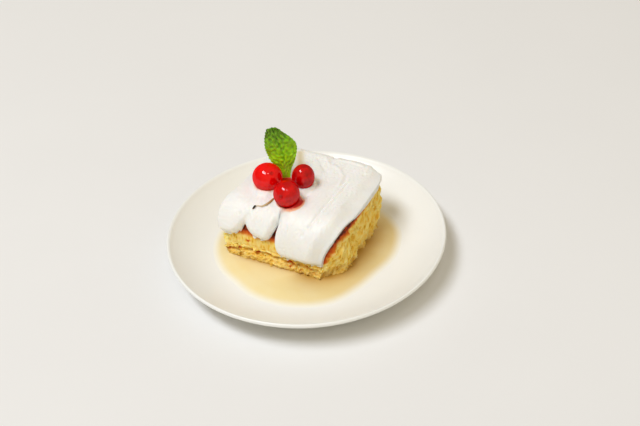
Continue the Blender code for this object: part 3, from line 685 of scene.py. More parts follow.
EDGE_SHARES = np.linspace(0.0, 1.0, 201)
EDGE_PATH = list(zip(EDGE_SHARES * REFERENCE_WIDTH, hanging_edge(EDGE_SHARES)))
print("the lobes hang to %.0f mm up the front at the lowest" % hanging_edge(EDGE_SHARES).min())

# %% [markdown]
# ## Sponge
# Cut and soaked sponge tears along its bubbles. Its large crags are worked out point by point. The fine
# part, thousands of burst bubbles, follows a rule over the whole surface, so a node tree presses them
# in: cell noise for the bubbles and soft noise for lumps. How bare, browned and wet each place is goes
# along as numbers, and the colours follow them.

# %% Sizes of the sponge's relief
SPONGE_CELLS = (190, 180, 80)
WET_ROW_Z = 9.0
CRAG_SIZE = 5.5
CRAG_DEPTH = 2.2
CRAG_FLATNESS = 0.42
CRAG_LEAN = 0.45
CRAG_STRENGTH = 1.6
CRAG_NOISE = (0.9, 2.1, 3)
TORN_IN = 0.25
KEPT_IN = 0.4
TOP_FADE = (0.5, 6.0)
COVER_FADE = (4.0, 1.0)
LOBE_FADE = (3.5, 0.5)
RIGHT_UNDERCUT = 1.0
UNDERCUT_TOP_Z = 30.0
# The crease across the bare front, by X and height
CREASE = ((-46.0, 12.1), (-35.0, 16.0), (-20.0, 16.8), (-13.0, 16.4), (1.0, 15.3), (14.5, 15.6), (22.0, 13.2))
CREASE_DEPTH = 2.4
CREASE_WIDTH = 1.5
FRONT_SWELL = 0.9
# Middle height, reach and half height of each ledge that juts out at the left
LEFT_LEDGES = ((21.0, 5.0, 2.4), (12.5, 4.0, 2.0))
LEDGE_REACH = (-10.0, -22.0)


def crags(x, y, z, size):
    """Uneven crumb, about -1 to 1, that depends only on the place."""
    places = np.stack(np.broadcast_arrays(x, y, z), -1) / size
    return np.array([CRAG_STRENGTH * noise.fractal(Vector(place), *CRAG_NOISE) for place in places.tolist()])


def torn_crumb(x, y, z):
    """How far torn crumb stands out on a cut face, whose crags lie flat."""
    return CRAG_DEPTH * (crags(x, y, z * CRAG_FLATNESS, CRAG_SIZE) - TORN_IN)


def under_hang(depth, hang):
    """1 where frosting hangs over a place, 0 well clear of it."""
    return smooth_step(hang + COVER_FADE[0], hang + COVER_FADE[1], depth)


def kept_under(torn, cover, below_top):
    """Torn crumb that stays inside where frosting covers it, and fades out at the top."""
    return smooth_step(*TOP_FADE, below_top) * blend(torn, np.minimum(torn, -KEPT_IN), cover)


def above_crease(x, z):
    """Height over the crease, which wavers a little."""
    return z - np.interp(x, *zip(*CREASE)) - 0.5 * waves([x, 0.0 * x], 4.0, 51)


def front_relief(x, z):
    """The bare front swells above and below its crease."""
    swell = FRONT_SWELL - CREASE_DEPTH * np.exp(-(above_crease(x, z) / CREASE_WIDTH) ** 2)
    bare = smooth_step(SHOULDER_START_Z - 0.4, SHOULDER_START_Z - 2.6, z)
    return bare * (swell + crags(x, 0.0, z, CRAG_SIZE * 0.8))


def depth_inside(y, z):
    """How deep places are under the baked front and top, and how far up the front they are nearest."""
    depth = np.full(np.shape(y), np.inf)
    distance = np.zeros(np.shape(y))
    for (y0, z0), (y1, z1), start, length in zip(VIEW[:-2], VIEW[1:-1], VIEW_AT, VIEW_STEPS):
        part = ((y - y0) * (y1 - y0) + (z - z0) * (z1 - z0)) / length ** 2
        part = np.clip(part, 0.0, 1.0)
        away = np.hypot(y - blend(y0, y1, part), z - blend(z0, z1, part))
        nearer = away < depth
        depth = np.where(nearer, away, depth)
        distance = np.where(nearer, start + part * length, distance)
    return depth, distance


def end_relief(y, z, top, side):
    """Depth of torn crumb on a cut end, and how bare it is."""
    torn = torn_crumb(side * SPONGE_RIGHT_X, y - CRAG_LEAN * z, z)
    if side < 0:
        ledges = sum(reach * np.exp(-((z - middle) / half) ** 2) for middle, reach, half in LEFT_LEDGES)
        torn = torn + ledges * smooth_step(*LEDGE_REACH, y)
        lowest, hang = hanging_edge(0.0), LEFT_HANG
    else:
        torn = torn - RIGHT_UNDERCUT * smooth_step(UNDERCUT_TOP_Z, WET_ROW_Z, z)
        lowest, hang = hanging_edge(1.0), right_sag(y, RIGHT_HANG)
    depth, distance = depth_inside(y, z)
    cover = under_hang(depth, hang) * smooth_step(lowest - LOBE_FADE[0], lowest - LOBE_FADE[1], distance)
    return kept_under(torn, cover, top - z), 1.0 - cover


def back_relief(x, z, top):
    cover = under_hang(top - z, BACK_HANG)
    return kept_under(torn_crumb(x, SPONGE_BACK_Y, z), cover, top - z), 1.0 - cover


# %% How browned the sponge is
CREASE_BROWN_AND_SHADE = 0.74
CREASE_BROWN_AND_SHADE_WIDTH = 1.1
FRONT_GOLD = 0.2
BIT_BROWN = 0.75
# X, distance up the front and radius of each brown bit
BROWN_BITS = ((-29.5, 17.5, 2.0), (-13.9, 12.3, 2.4), (-1.7, 9.4, 1.8), (3.3, 6.5, 1.8), (9.5, 6.0, 1.5))
# Distance up the front and how deep the crust is seen there
CRUST_REACH = ((0.0, 2.5), (20.0, 4.5), (32.0, 8.0), (48.0, 8.0), (60.0, 6.0), (74.0, 4.2), (110.0, 1.8))
CRUST_START = (17.5, 27.0)
RIGHT_CRUST_START = (12.0, 16.0)
CRUST_FADE = 0.6


def front_crust_and_shade(x, z, distance, ragged):
    """A crease painted brown, as browned skin and as the shade in it, golden skin and brown bits of the bare
    front.
    """
    patchy = np.clip(0.5 + waves([x, 0.0 * x], 6.0, 52), 0.0, 1.0)
    crease = np.exp(-(above_crease(x, z) / CREASE_BROWN_AND_SHADE_WIDTH) ** 2) * np.clip(0.4 + ragged, 0.0, 1.0)
    # The crease is painted brown: browned skin, and the shade in the crease.
    crust_and_shade = np.maximum(CREASE_BROWN_AND_SHADE * crease * patchy, FRONT_GOLD * (0.55 + 0.45 * ragged))
    for bit_x, bit_s, radius in BROWN_BITS:
        spot = np.exp(-(((x - bit_x) / radius) ** 2 + ((distance - bit_s) / (0.7 * radius)) ** 2))
        crust_and_shade = np.maximum(crust_and_shade, BIT_BROWN * spot * np.clip(ragged, 0.0, 1.0))
    return crust_and_shade


def browned(depth, distance, hidden, on_right, ragged):
    """How browned places are by their depth under the baked skin and the part hidden by frosting."""
    reach = np.interp(distance, *zip(*CRUST_REACH))
    on_front, on_end = (smooth_step(*limits, distance) for limits in (CRUST_START, RIGHT_CRUST_START))
    baked = smooth_step(hidden + reach, hidden - CRUST_FADE, depth) * np.where(on_right, on_end, on_front)
    return np.clip(baked * (0.9 + 0.2 * ragged), 0.0, 1.0)


# %% Corners of the sponge and its named numbers
TOP_BARE = 0.35
FOOT_BARE = 0.3
BARE_FADE = (-0.5, 1.5)
UNSEEN_HANG = 1.5
FRONT_REACH = 6.0
WET_HEIGHTS = (16.0, 8.5)


def sponge_points():
    """Places of the sponge's corners, its faces, the rim at its foot and the numbers for its colours."""
    nx, ny, nz = SPONGE_CELLS
    i, j, k, faces, rim = block_skin(nx, ny, nz, open_floor=True)
    row_at = np.linspace(VIEW_AT[1], BACK_EDGE, ny + 1)
    row_y, row_z = on_side_view(row_at)[:2]
    share, y, top = i / nx, row_y[j], row_z[j]
    level = np.where(k > 0, blend(WET_ROW_Z, top, (k - 1) / (nz - 1)), SPONGE_FLOOR_Z)
    z = np.maximum(level, WET_ROW_Z)
    left, left_bare = end_relief(y, z, top, -1)
    right, right_bare = end_relief(y, z, top, 1)
    x = blend(left_end(y) - left, right_end(y) + right, share)
    back, back_bare = back_relief(x, z, top)
    back_share = (y - SPONGE_FRONT_Y) / (row_y[-1] - SPONGE_FRONT_Y)
    moved_back = back * back_share ** 3 - front_relief(x, z) * (1.0 - back_share) ** 3
    points = np.stack([x, y + np.where(k < nz, moved_back, 0.0), level], -1)

    depth, distance = depth_inside(y, z)
    distance = np.select([k == nz, j == 0], [row_at[j], z - SPONGE_FLOOR_Z], distance)
    baked = (k == nz) | (j == 0)
    hidden = np.select([j == ny, i == nx, i == 0],
                       [BACK_HANG - UNSEEN_HANG, right_sag(y, RIGHT_HANG), LEFT_HANG - UNSEEN_HANG], 0.0)
    ragged = 0.5 + 0.5 * waves([x, y, level], 1.6, 41)
    crust_and_shade = browned(np.where(baked, 0.0, depth), distance, hidden, (i == nx) & ~baked, ragged)
    in_front = baked & (y < SPONGE_FRONT_Y + FRONT_REACH)
    crust_and_shade = np.where(in_front, np.maximum(crust_and_shade, front_crust_and_shade(x, z, distance, ragged)), crust_and_shade)
    bare = np.select([i == nx, i == 0, j == ny], [right_bare, left_bare, back_bare], 1.0)
    under = smooth_step(*BARE_FADE, row_at[j] - hanging_edge(share))
    bare = np.where(k == nz, TOP_BARE * (1.0 - under), bare) * np.where(k == 0, FOOT_BARE, 1.0)
    front = np.where(in_front & (k < nz), 1.0, 0.0)
    values = {"bare": bare, "crust_and_shade": crust_and_shade, "wet": smooth_step(*WET_HEIGHTS, level), "front": front}
    return points, faces, rim, values


# %% A tree that presses burst bubbles into the crumb
SWIRL_REACH = 0.0009
PIT_EDGES = (0.1, 0.62)
CRUMB_RANGE = (-0.0011, 0.0003)


def crumb_tree():
    """Moves each bare point in at burst bubbles and out at lumps, and keeps how far as 'crumb'."""
    sizes = {"Bubble Size": 0.0018, "Bubble Depth": 0.0006, "Fine Size": 0.0009, "Fine Depth": 0.0003,
             "Lump Size": 0.003, "Lump Depth": 0.0012, "Stretch": 0.3, "Lean": (0.0, 0.45, 0.0),
             "Material": None}
    tree, start, end = geometry_tree("torn_crumb", sizes)
    place = own_place(tree)
    front = named(tree, "front")
    along = minus(tree, 1.0, times(tree, front, 0.65))
    upright = plus(tree, start["Stretch"], times(tree, front, 0.7))
    leaned = scaled(tree, start["Lean"], parts_of(tree, place)["Z"])
    straight = vector_maths(tree, "SUBTRACT", place, leaned)
    tall = vector_maths(tree, "MULTIPLY", straight, combined(tree, X=along, Y=1.0, Z=upright))
    swirl = uneven(tree, Vector=shrunk(tree, tall, start["Lump Size"]), Scale=1.0, Detail=2.0).outputs
    bent = vector_maths(tree, "ADD", tall, scaled(tree, swirl["Color"], SWIRL_REACH))
    pits = []
    for size, depth in (("Bubble Size", "Bubble Depth"), ("Fine Size", "Fine Depth")):
        feeds = {"Vector": shrunk(tree, bent, start[size]), "Scale": 1.0}
        cell = add(tree, "ShaderNodeTexVoronoi", feeds).outputs["Distance"]
        pits.append(times(tree, minus(tree, 1.0, eased(tree, cell, *PIT_EDGES)), start[depth]))
    lump = times(tree, minus(tree, swirl["Fac"], 0.45), start["Lump Depth"])
    out = minus(tree, lump, plus(tree, *pits))
    normal = add(tree, "GeometryNodeInputNormal").outputs[0]
    marked = kept(tree, start["Mesh"], "crumb", eased(tree, out, *CRUMB_RANGE))
    pressed = moved(tree, marked, Offset=scaled(tree, normal, times(tree, out, named(tree, "bare"))))
    close_tree(tree, end, pressed, start["Material"])
    return tree


# %% [markdown]
# Wet crumb is deep yellow in its hollows and pale on its torn edges: partly its own colour, partly painted
# shade in the hollows and painted light on the edges. The baked skin goes from orange through red-brown
# to nearly black in a few millimetres; the near-black next to the frosting and in the clefts is partly
# painted shade. Milk makes the foot darker and shinier.

# %% Sponge material
# From deep hollows to pale torn edges, with painted shade in the hollows and painted light on the edges
CRUMB_STOPS = ((0.0, (180, 128, 36)), (0.3, (232, 184, 66)), (0.65, (248, 214, 98)), (1.0, (254, 238, 158)))
# From the first gold of baking to almost burnt; the darkest end is partly painted shade
CRUST_STOPS = ((0.0, (226, 168, 54)), (0.35, (222, 130, 36)), (0.6, (204, 92, 22)), (0.85, (164, 58, 14)),
               (1.0, (76, 26, 8)))
YOLK_YELLOW = linear(246, 194, 66)
SOAKED_CRUMB = linear(206, 152, 66)


def sponge_material():
    material, tree = new_material("soaked_crumb", Subsurface_Weight=0.4, Subsurface_Scale=0.0015,
                                  Subsurface_Radius=(1.0, 0.8, 0.3), IOR=1.3)
    crumb = ramped(tree, point_value(tree, "crumb"), CRUMB_STOPS)
    crust_and_shade = point_value(tree, "crust_and_shade")
    yellow = blotched(tree, 0.006, 0.3, crumb, YOLK_YELLOW)
    baked = mixed(tree, eased(tree, crust_and_shade, 0.05, 0.5), yellow, ramped(tree, crust_and_shade, CRUST_STOPS))
    soaked = tinted(tree, baked, "wet", 0.45, SOAKED_CRUMB)
    rough = minus(tree, 0.75, times(tree, point_value(tree, "wet"), 0.35))
    return finished(material, soaked, 0.0006, 0.00025, detail=4.0, Roughness=rough)


SPONGE_MATERIAL = sponge_material()


def add_sponge():
    points, faces, rim, values = sponge_points()
    sponge = mesh_piece("torn_sponge", points, faces, values)
    grow(sponge, crumb_tree(), {"Material": SPONGE_MATERIAL})
    show_as(sponge, "sponge")
    return sponge, points[rim]


sponge, sponge_foot = add_sponge()

# %% [markdown]
# Loose crumbs and torn flakes cling to the bare faces. A particle system could drop them, but scattered
# points on the bare faces do it in one tree: more where it is wet, each crumb turned and sized at random
# from a fixed seed.

# %% A tree that scatters crumbs
# Name, number for each square metre of bare crumb, smallest and largest size in metres, and seed
CRUMB_SIZES = (
    ("clinging_crumbs", 60000.0, 0.0003, 0.0009, 7),
    ("torn_flakes", 5500.0, 0.0008, 0.0015, 8),
)
BARE_ENOUGH = (0.75, 0.95)
TOO_BROWNED = (0.1, 0.3)
WET_MORE = 1.5
CRUMB_SHAPE = ((0.45, 0.45, 0.6), (1.0, 1.0, 1.5))
FULL_TURN = (6.28, 6.28, 6.28)


def drawn(tree, low, high, seed):
    """A number or a vector for each crumb, drawn between two limits."""
    of_vectors = isinstance(low, tuple)
    feeds = {"Min": low, "Max": high, "Seed": seed}
    made = add(tree, "FunctionNodeRandomValue", feeds, data_type="FLOAT_VECTOR" if of_vectors else "FLOAT")
    return made.outputs[0 if of_vectors else 1]


def crumb_scatter_tree():
    """Small lumps on the bare faces of the incoming mesh, which itself isn't passed on."""
    sizes = {"Density": 60000.0, "Smallest": 0.0003, "Largest": 0.0009, "Seed": 7, "Material": None}
    tree, start, end = geometry_tree("clinging_crumbs", sizes)
    bare = eased(tree, named(tree, "bare"), *BARE_ENOUGH)
    unbrowned = minus(tree, 1.0, eased(tree, named(tree, "crust_and_shade"), *TOO_BROWNED))
    more = plus(tree, 1.0, times(tree, named(tree, "wet"), WET_MORE))
    density = times(tree, times(tree, times(tree, bare, unbrowned), start["Density"]), more)
    feeds = {"Mesh": start["Mesh"], "Density": density, "Seed": start["Seed"]}
    spots = add(tree, "GeometryNodeDistributePointsOnFaces", feeds, distribute_method="RANDOM").outputs[0]
    ball = add(tree, "GeometryNodeMeshIcoSphere", {"Radius": 1.0, "Subdivisions": 1}).outputs["Mesh"]
    swirl = uneven(tree, Scale=1.6, Detail=2.0).outputs["Color"]
    lump = moved(tree, ball, Offset=scaled(tree, vector_maths(tree, "SUBTRACT", swirl, (0.5, 0.5, 0.5)), 2.2))
    size = scaled(tree, drawn(tree, *CRUMB_SHAPE, 13), drawn(tree, start["Smallest"], start["Largest"], 11))
    feeds = {"Points": kept(tree, spots, "crumb", drawn(tree, 0.45, 1.0, 3)), "Instance": lump,
             "Rotation": drawn(tree, (0.0, 0.0, 0.0), FULL_TURN, 5), "Scale": size}
    close_tree(tree, end, add(tree, "GeometryNodeInstanceOnPoints", feeds).outputs[0], start["Material"])
    return tree


def add_crumbs():
    tree = crumb_scatter_tree()
    for name, density, smallest, largest, seed in CRUMB_SIZES:
        crumbs = bpy.data.objects.new(name, sponge.data.copy())
        bpy.context.scene.collection.objects.link(crumbs)
        grow(crumbs, tree, {"Density": density, "Smallest": smallest, "Largest": largest, "Seed": seed,
                            "Material": SPONGE_MATERIAL})
        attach(crumbs, "root")
        print("%s: %d faces" % (name, len(crumbs.data.polygons)))


add_crumbs()

# %% [markdown]
# ## Milk
# Sweet milk has run out of the cake and lies level on the plate, thinning to nothing at its edge, where
# the white plate shows through. It climbs a little where it meets the crumb. It is browner there, partly
# stained by crumb and partly painted with the shade at the cake's foot, and browner still beside the right
# end, where the cake's shadow is painted in. It is a ring of points from the foot of the cake to an uneven
# outer edge, given by a few radii.

# %% Pool
POOL_LEVEL = 8.5
# Angle in degrees and radius at places round the edge
POOL_EDGE = ((-163, 66.0), (-115, 61.0), (-63, 62.5), (-14, 57.0), (42, 67.5), (95, 65.0), (145, 65.0))
POOL_RINGS = 60
POOL_RING_CROWDING = 0.8
POOL_STEPS = 360
POOL_START = 0.97
POOL_DEPTH = 2.6
POOL_THINNING = (-2.0, 14.0)
POOL_UNDERSIDE = 0.1
EDGE_SINK = 0.16
MENISCUS = 0.5
MENISCUS_REACH = 1.2
FILM_REACH = (-0.5, 7.5)
CAKE_SHADOW_REACH = 10.0
CAKE_SHADOW_FROM = (-95.0, -62.0)
CAKE_SHADOW_TO = (70.0, 20.0)
FOOT_REACH = 2.5
FOOT_STAIN_AND_SHADE = 0.6
FOOT_SMOOTHING = 12


def pool_radius(degrees):
    """Radius of the pool at angles in degrees, eased between the given ones."""
    knots = list(POOL_EDGE) + [(POOL_EDGE[0][0] + 360.0, POOL_EDGE[0][1])]
    degrees = np.where(degrees < knots[0][0], degrees + 360.0, degrees)
    radius = np.full(np.shape(degrees), knots[0][1])
    for (a0, r0), (a1, r1) in zip(knots, knots[1:]):
        inside = (degrees >= a0) & (degrees <= a1)
        radius = np.where(inside, blend(r0, r1, smooth_step(a0, a1, degrees)), radius)
    return radius


def pool_ring(radius, angle, foot, edge):
    """One ring of the milk's upper side, from the foot of the cake, where it climbs, to its thin edge."""
    floor = plate_surface_z(radius)
    thinning = POOL_DEPTH * smooth_step(*POOL_THINNING, edge - radius) - EDGE_SINK
    depth = np.minimum(POOL_LEVEL - floor, thinning)
    climb = MENISCUS * np.exp(-np.abs(radius - foot) / MENISCUS_REACH)
    return np.stack([radius * np.cos(angle), radius * np.sin(angle), floor + depth + climb], -1)


def pool_points():
    """Rings of points from the foot of the cake out and back below, and the numbers for their colour."""
    foot_x, foot_y = sponge_foot[:, :2].T
    angle = np.linspace(-math.pi, math.pi, POOL_STEPS + 1)[:-1]
    degrees = np.degrees(angle)
    foot = np.interp(angle, np.arctan2(foot_y, foot_x), np.hypot(foot_x, foot_y), period=math.tau)
    smoothing = range(-FOOT_SMOOTHING, FOOT_SMOOTHING + 1)
    even_foot = np.mean([np.roll(foot, step) for step in smoothing], axis=0)
    edge = pool_radius(degrees) + 0.5 * waves([60.0 * np.cos(angle), 60.0 * np.sin(angle)], 22.0, 4)
    # Painted shadow of the cake on the milk, on the side away from the lamp.
    shady = smooth_step(*CAKE_SHADOW_FROM, degrees) * smooth_step(*CAKE_SHADOW_TO, degrees)
    rings, film, soaked = [], [], []
    for share in np.linspace(0.0, 1.0, POOL_RINGS) ** POOL_RING_CROWDING:
        radius = blend(POOL_START * foot, edge, share)
        away = np.maximum(radius - even_foot, 0.0)
        rings.append(pool_ring(radius, angle, foot, edge))
        film.append(smooth_step(*FILM_REACH, edge - radius))
        # Painted shade and crumb stain in a narrow ring at the cake's foot.
        at_foot = FOOT_STAIN_AND_SHADE * np.exp(-away / FOOT_REACH)
        soaked.append(np.maximum(np.exp(-away / CAKE_SHADOW_REACH) * shady, at_foot))
    for ring in (rings[-1], rings[0]):
        below = plate_surface_z(np.hypot(ring[:, 0], ring[:, 1])) - POOL_UNDERSIDE
        rings.append(np.stack([ring[:, 0], ring[:, 1], below], -1))
    film += [film[-1], film[0]]
    soaked += [soaked[-1], soaked[0]]
    return np.concatenate(rings), {"film": np.concatenate(film), "soaked": np.concatenate(soaked)}


CREAM_COLOURS = (linear(243, 226, 174), linear(240, 219, 156))
STAINED_AND_SHADED_MILK = linear(186, 138, 42)
MILK_FILM = linear(248, 248, 240)


def milk_material():
    material, tree = new_material("sweet_milk", Roughness=0.22, IOR=1.35)
    # Browner where crumb stains the milk and where the cake's shadow and the shade at its foot are painted.
    cream = tinted(tree, blotched(tree, 0.025, 0.6, *CREAM_COLOURS), "soaked", 0.92, STAINED_AND_SHADED_MILK)
    colour = mixed(tree, point_value(tree, "film"), MILK_FILM, cream)
    return finished(material, colour, 0.02, 0.00005, detail=1.0)


def add_milk():
    points, values = pool_points()
    loop = np.append(np.arange(POOL_STEPS), 0)
    number = loop[None, :] + np.arange(POOL_RINGS + 2)[:, None] * POOL_STEPS
    faces = quads_of(np.concatenate([number, number[:1]]), False).tolist()
    show_as(mesh_piece("sweet_milk", points, faces, values, milk_material()), "milk_pool")


add_milk()

# %% [markdown]
# ## Frosting
# Whipped frosting was spread from front to back in three strokes. Each stroke keeps the knife's long
# streaks, a few burst air bubbles and a raised lip at its side. Sculpting would give this too, but the
# marks are few and their places can be read off, so they are listed as short paths with a depth, and the
# thickness of the frosting is worked out from them on a fine grid.

# %% Sizes of the frosting
CLEFT_SHARE = 0.465
CLEFT_CLEARANCE = 0.5
CLEFT_REACH = 0.08
GAP = 0.35
FRONT_THICKNESS = 3.8
TOP_THICKNESS = 6.2
BACK_THICKNESS = 4.6
THICKENING = (14.0, 40.0)
THINNING_START = 45.0
FROSTING_TIP = 0.1
EDGE_ROUND = 5.0
EDGE_FULLNESS = 1.3
RIGHT_TAPER = 11.0
RIGHT_TAPER_SHARE = 0.24
RIGHT_INSET = 2.2
RIGHT_INSET_Y = -12.0
RIGHT_INSET_REACH = 9.0
RIGHT_INSET_SHARES = (0.8, 1.0)
THIN_HEIGHTS = (3.4, 0.6)
THIN_SHARES = (0.6, 0.72)
LEFT_OVERHANG_TOP = 4.4
LEFT_OVERHANG_FRONT = 9.2
LEFT_OVERHANG_CHANGE = (28.0, 55.0)
EDGE_LEAN = 0.3
RIGHT_SWATH_LIFT = 0.5
RIGHT_SWATH_SHARES = (0.5, 0.56)
ROW_CROWDING = 0.6
FROSTING_ROWS = 200
FROSTING_STATIONS = 150
ROLL_STATIONS = 13
# Inset, share of the overhang, share of the thickness and share of the hang, from the middle to the tip
ROLL = ((3.0, 0.1, 1.0, 0.0), (0.9, 0.6, 0.88, 0.0), (-GAP, 1.0, 0.42, 0.0), (-GAP, 0.5, 0.0, 1.0))
# Seams between lobes, strokes and swaths, by share of the width and distance up the front: path, depth
# and half width
GROOVES = (
    (((0.164, 28.0), (0.185, 33.5)), 0.2, 2.0),
    (((0.47, 33.0), (0.497, 38.0), (0.533, 46.5), (0.55, 75.0), (0.53, 104.0)), 0.22, 2.3),
    (((0.755, 35.0), (0.755, 48.0), (0.76, 92.0)), 0.1, 2.6),
)
# Knife marks by X and distance up the front: path, depth (less than 0 is raised) and half width
KNIFE_MARKS = (
    (((15.3, 37.0), (17.3, 46.0), (17.6, 60.0), (17.9, 71.0), (18.1, 84.0)), 0.8, 0.8),
    (((18.8, 46.0), (19.5, 60.0), (19.8, 84.0)), -0.55, 0.8),
    (((22.6, 46.5), (23.9, 54.0)), 0.65, 0.7),
    (((20.9, 56.0), (21.2, 80.0)), 0.5, 0.7),
    (((4.3, 101.0), (12.3, 102.0), (22.0, 101.0)), -0.5, 1.1),
    (((-7.0, 33.5), (-3.1, 39.0), (0.2, 45.0), (2.6, 56.0)), -0.4, 0.9),
    (((-6.2, 101.0), (0.5, 95.0), (9.0, 92.0), (14.5, 86.0), (16.5, 76.0)), -0.75, 1.3),
    (((-10.0, 98.0), (-2.0, 90.0), (4.0, 86.0), (7.0, 76.0)), 0.55, 1.5),
    (((29.5, 60.0), (33.5, 72.0), (35.0, 84.0)), 0.9, 4.5),
    (((-38.0, 60.0), (-36.0, 85.0)), 0.3, 3.0),
)
# Height, how many times longer than wide, width and seed of the streaks, swells and grain
SPREAD_WAVES = ((0.08, 11.0, 1.7, 21), (0.32, 1.8, 9.0, 22), (0.09, 1.0, 1.3, 23))
# X, distance up the front and radius of the air holes that can be made out
AIR_HOLES = ((11.8, 31.6, 0.9), (15.1, 36.3, 1.0), (24.0, 50.0, 0.6), (31.6, 64.2, 0.7), (-42.1, 47.2, 0.8),
             (-3.6, 97.1, 0.6), (-35.6, 34.3, 0.8), (27.0, 93.0, 0.9))
SMALL_HOLES = 34
SMALL_HOLE_LIMITS = ((-44.0, 36.0), (24.0, 104.0), (0.3, 0.65))
HOLE_DEPTH = 0.9
CHERRY_REACH = (10.5, 4.0)
CHERRY_CLEARANCE = 0.05
COLLAR_HEIGHT = 2.8
COLLAR_AT = 0.88
COLLAR_WIDTH = 0.23
PEACH_GLOW_INSIDE = 0.62
PEACH_GLOW_RIM = 0.12
RED_RIM = 0.08
LEAF_FOOT = (-20.5, 14.3)
# The leaf's painted shadow on the frosting: a path, and below it its half width.
LEAF_SHADE = ((-19.0, 32.0), (-25.0, 43.0))
LEAF_SHADE_WIDTH = 2.8
# A dark red puddle painted between the cherries and the leaf: syrup, and the shade that falls there.
SHADED_SYRUP_PUDDLE = (-18.2, 9.3)
PUDDLE_REACH = 7.8
# Name, place in plan, radii along X, Y and Z, turn in degrees, way its dimple faces, dimple depth,
# brightness, how far out the frosting is painted peach glow and how far red, which is syrup stain and
# painted shadow at once, as shares of its radius, and how far that red is shifted away from the lamp, as
# the cherry's shadow
CHERRIES = (
    ("cherry_left", (-27.2, 0.5), (10.2, 9.7, 9.7), 29.0, (0.588, -0.379, 0.715), 0.7, 1.0, 1.1, 0.74,
     (0.0, 0.0)),
    ("cherry_right", (-5.2, 10.3), (7.6, 7.8, 9.0), -10.0, (0.2, 0.9, -0.4), 1.0, 0.0, 0.94, 0.74,
     (0.0, 0.0)),
    ("cherry_front", (-6.9, -10.8), (8.8, 8.7, 9.3), 40.0, (0.034, -0.95, 0.31), 0.9, 0.25, 0.97, 1.0,
     (1.9, 1.3)),
)


def rounded(share):
    return np.sqrt(1.0 - (1.0 - np.clip(share, 0.0, 1.0)) ** 2)


def knife_relief(x, s):
    """Streaks, marks and bubbles of the spread surface, in millimetres."""
    relief = sum(height * waves([x, s / longer], width, seed) for height, longer, width, seed in SPREAD_WAVES)
    for path, depth, half_width in KNIFE_MARKS:
        relief -= depth * np.exp(-(away_from_path(x, s, path) / half_width) ** 2)
    draw = np.random.default_rng(5)
    small = np.stack([draw.uniform(*limits, SMALL_HOLES) for limits in SMALL_HOLE_LIMITS], -1)
    for hole_x, hole_s, radius in list(AIR_HOLES) + small.tolist():
        relief -= HOLE_DEPTH * radius * np.exp(-((x - hole_x) ** 2 + (s - hole_s) ** 2) / radius ** 2)
    return relief


def frosting_thickness(share, distance, x, y):
    """Thickness at a share of the width and a distance up the front and over the top."""
    body = blend(FRONT_THICKNESS, TOP_THICKNESS, smooth_step(*THICKENING, distance))
    body = blend(body, BACK_THICKNESS, smooth_step(THINNING_START, BACK_EDGE, distance))
    width = share * REFERENCE_WIDTH
    groove = np.zeros(x.shape)
    for path, depth, half_width in GROOVES:
        away = away_from_path(width, distance, [(u * REFERENCE_WIDTH, s) for u, s in path])
        groove = np.maximum(groove, depth * np.exp(-(away / half_width) ** 2))
    cover = np.zeros(x.shape)
    for _, (cherry_x, cherry_y), *_ in CHERRIES:
        cover = np.maximum(cover, smooth_step(*CHERRY_REACH, np.hypot(x - cherry_x, y - cherry_y)))
    lift = RIGHT_SWATH_LIFT * smooth_step(*RIGHT_SWATH_SHARES, share)
    thickness = blend((body + lift) * (1.0 - groove), body, cover) + knife_relief(x, distance) * (1.0 - cover)
    taper = blend(RIGHT_TAPER_SHARE, 1.0, smooth_step(0.0, RIGHT_TAPER, REFERENCE_WIDTH - width))
    to_front = away_from_path(width, distance, EDGE_PATH)
    to_edge = np.minimum(to_front, BACK_EDGE + BACK_HANG - distance)
    return thickness * taper * np.maximum(rounded(to_edge / EDGE_ROUND) ** EDGE_FULLNESS, FROSTING_TIP)


def above_frosting(x, distance, lift):
    """A place over the outside of the frosting, at x and a distance up the front."""
    y, z, ny, nz = on_side_view(np.array([distance]))
    share = (x - left_end(y)) / (right_end(y) - left_end(y))
    height = GAP + frosting_thickness(share, np.array([distance]), np.array([x]), y) + lift
    return x, float((y + ny * height)[0]), float((z + nz * height)[0])


# %% Stations across the cake
def roll_profile(count):
    """Steps of the rolled side between those of ROLL, eased through them."""
    knots = np.array(ROLL)
    padded = np.concatenate([[2 * knots[0] - knots[1]], knots, [2 * knots[-1] - knots[-2]]])
    steps = []
    for place in np.linspace(0.0, len(ROLL) - 1.0, count):
        index = min(int(place), len(ROLL) - 2)
        t = place - index
        p0, p1, p2, p3 = padded[index:index + 4]
        steps.append(0.5 * (2 * p1 + (p2 - p0) * t + (2 * p0 - 5 * p1 + 4 * p2 - p3) * t ** 2
                            + (3 * p1 - p0 - 3 * p2 + p3) * t ** 3))
    steps[-1] = knots[-1]
    return np.array(steps)


def frosting_stations():
    """Share of the width, side, inset, overhang, thickness and hang at each station across."""
    roll = roll_profile(ROLL_STATIONS)
    first = roll[0][0] / REFERENCE_WIDTH
    left = [(0.0, -1.0, *step) for step in roll[::-1]]
    middle = [(share, 0.0, 0.0, 0.0, 1.0, 0.0)
              for share in np.linspace(first, 1.0 - first, FROSTING_STATIONS)[1:-1]]
    right = [(1.0, 1.0, *step) for step in roll]
    return np.array(left + middle + right)


# %% Where the cherries touch and stain the frosting
def ellipse_away(x, y, radii, turn):
    """Distances from the middle of an ellipse, as shares of its radius."""
    angle = math.radians(turn)
    along = x * math.cos(angle) + y * math.sin(angle)
    across = y * math.cos(angle) - x * math.sin(angle)
    return np.hypot(along / radii[0], across / radii[1])


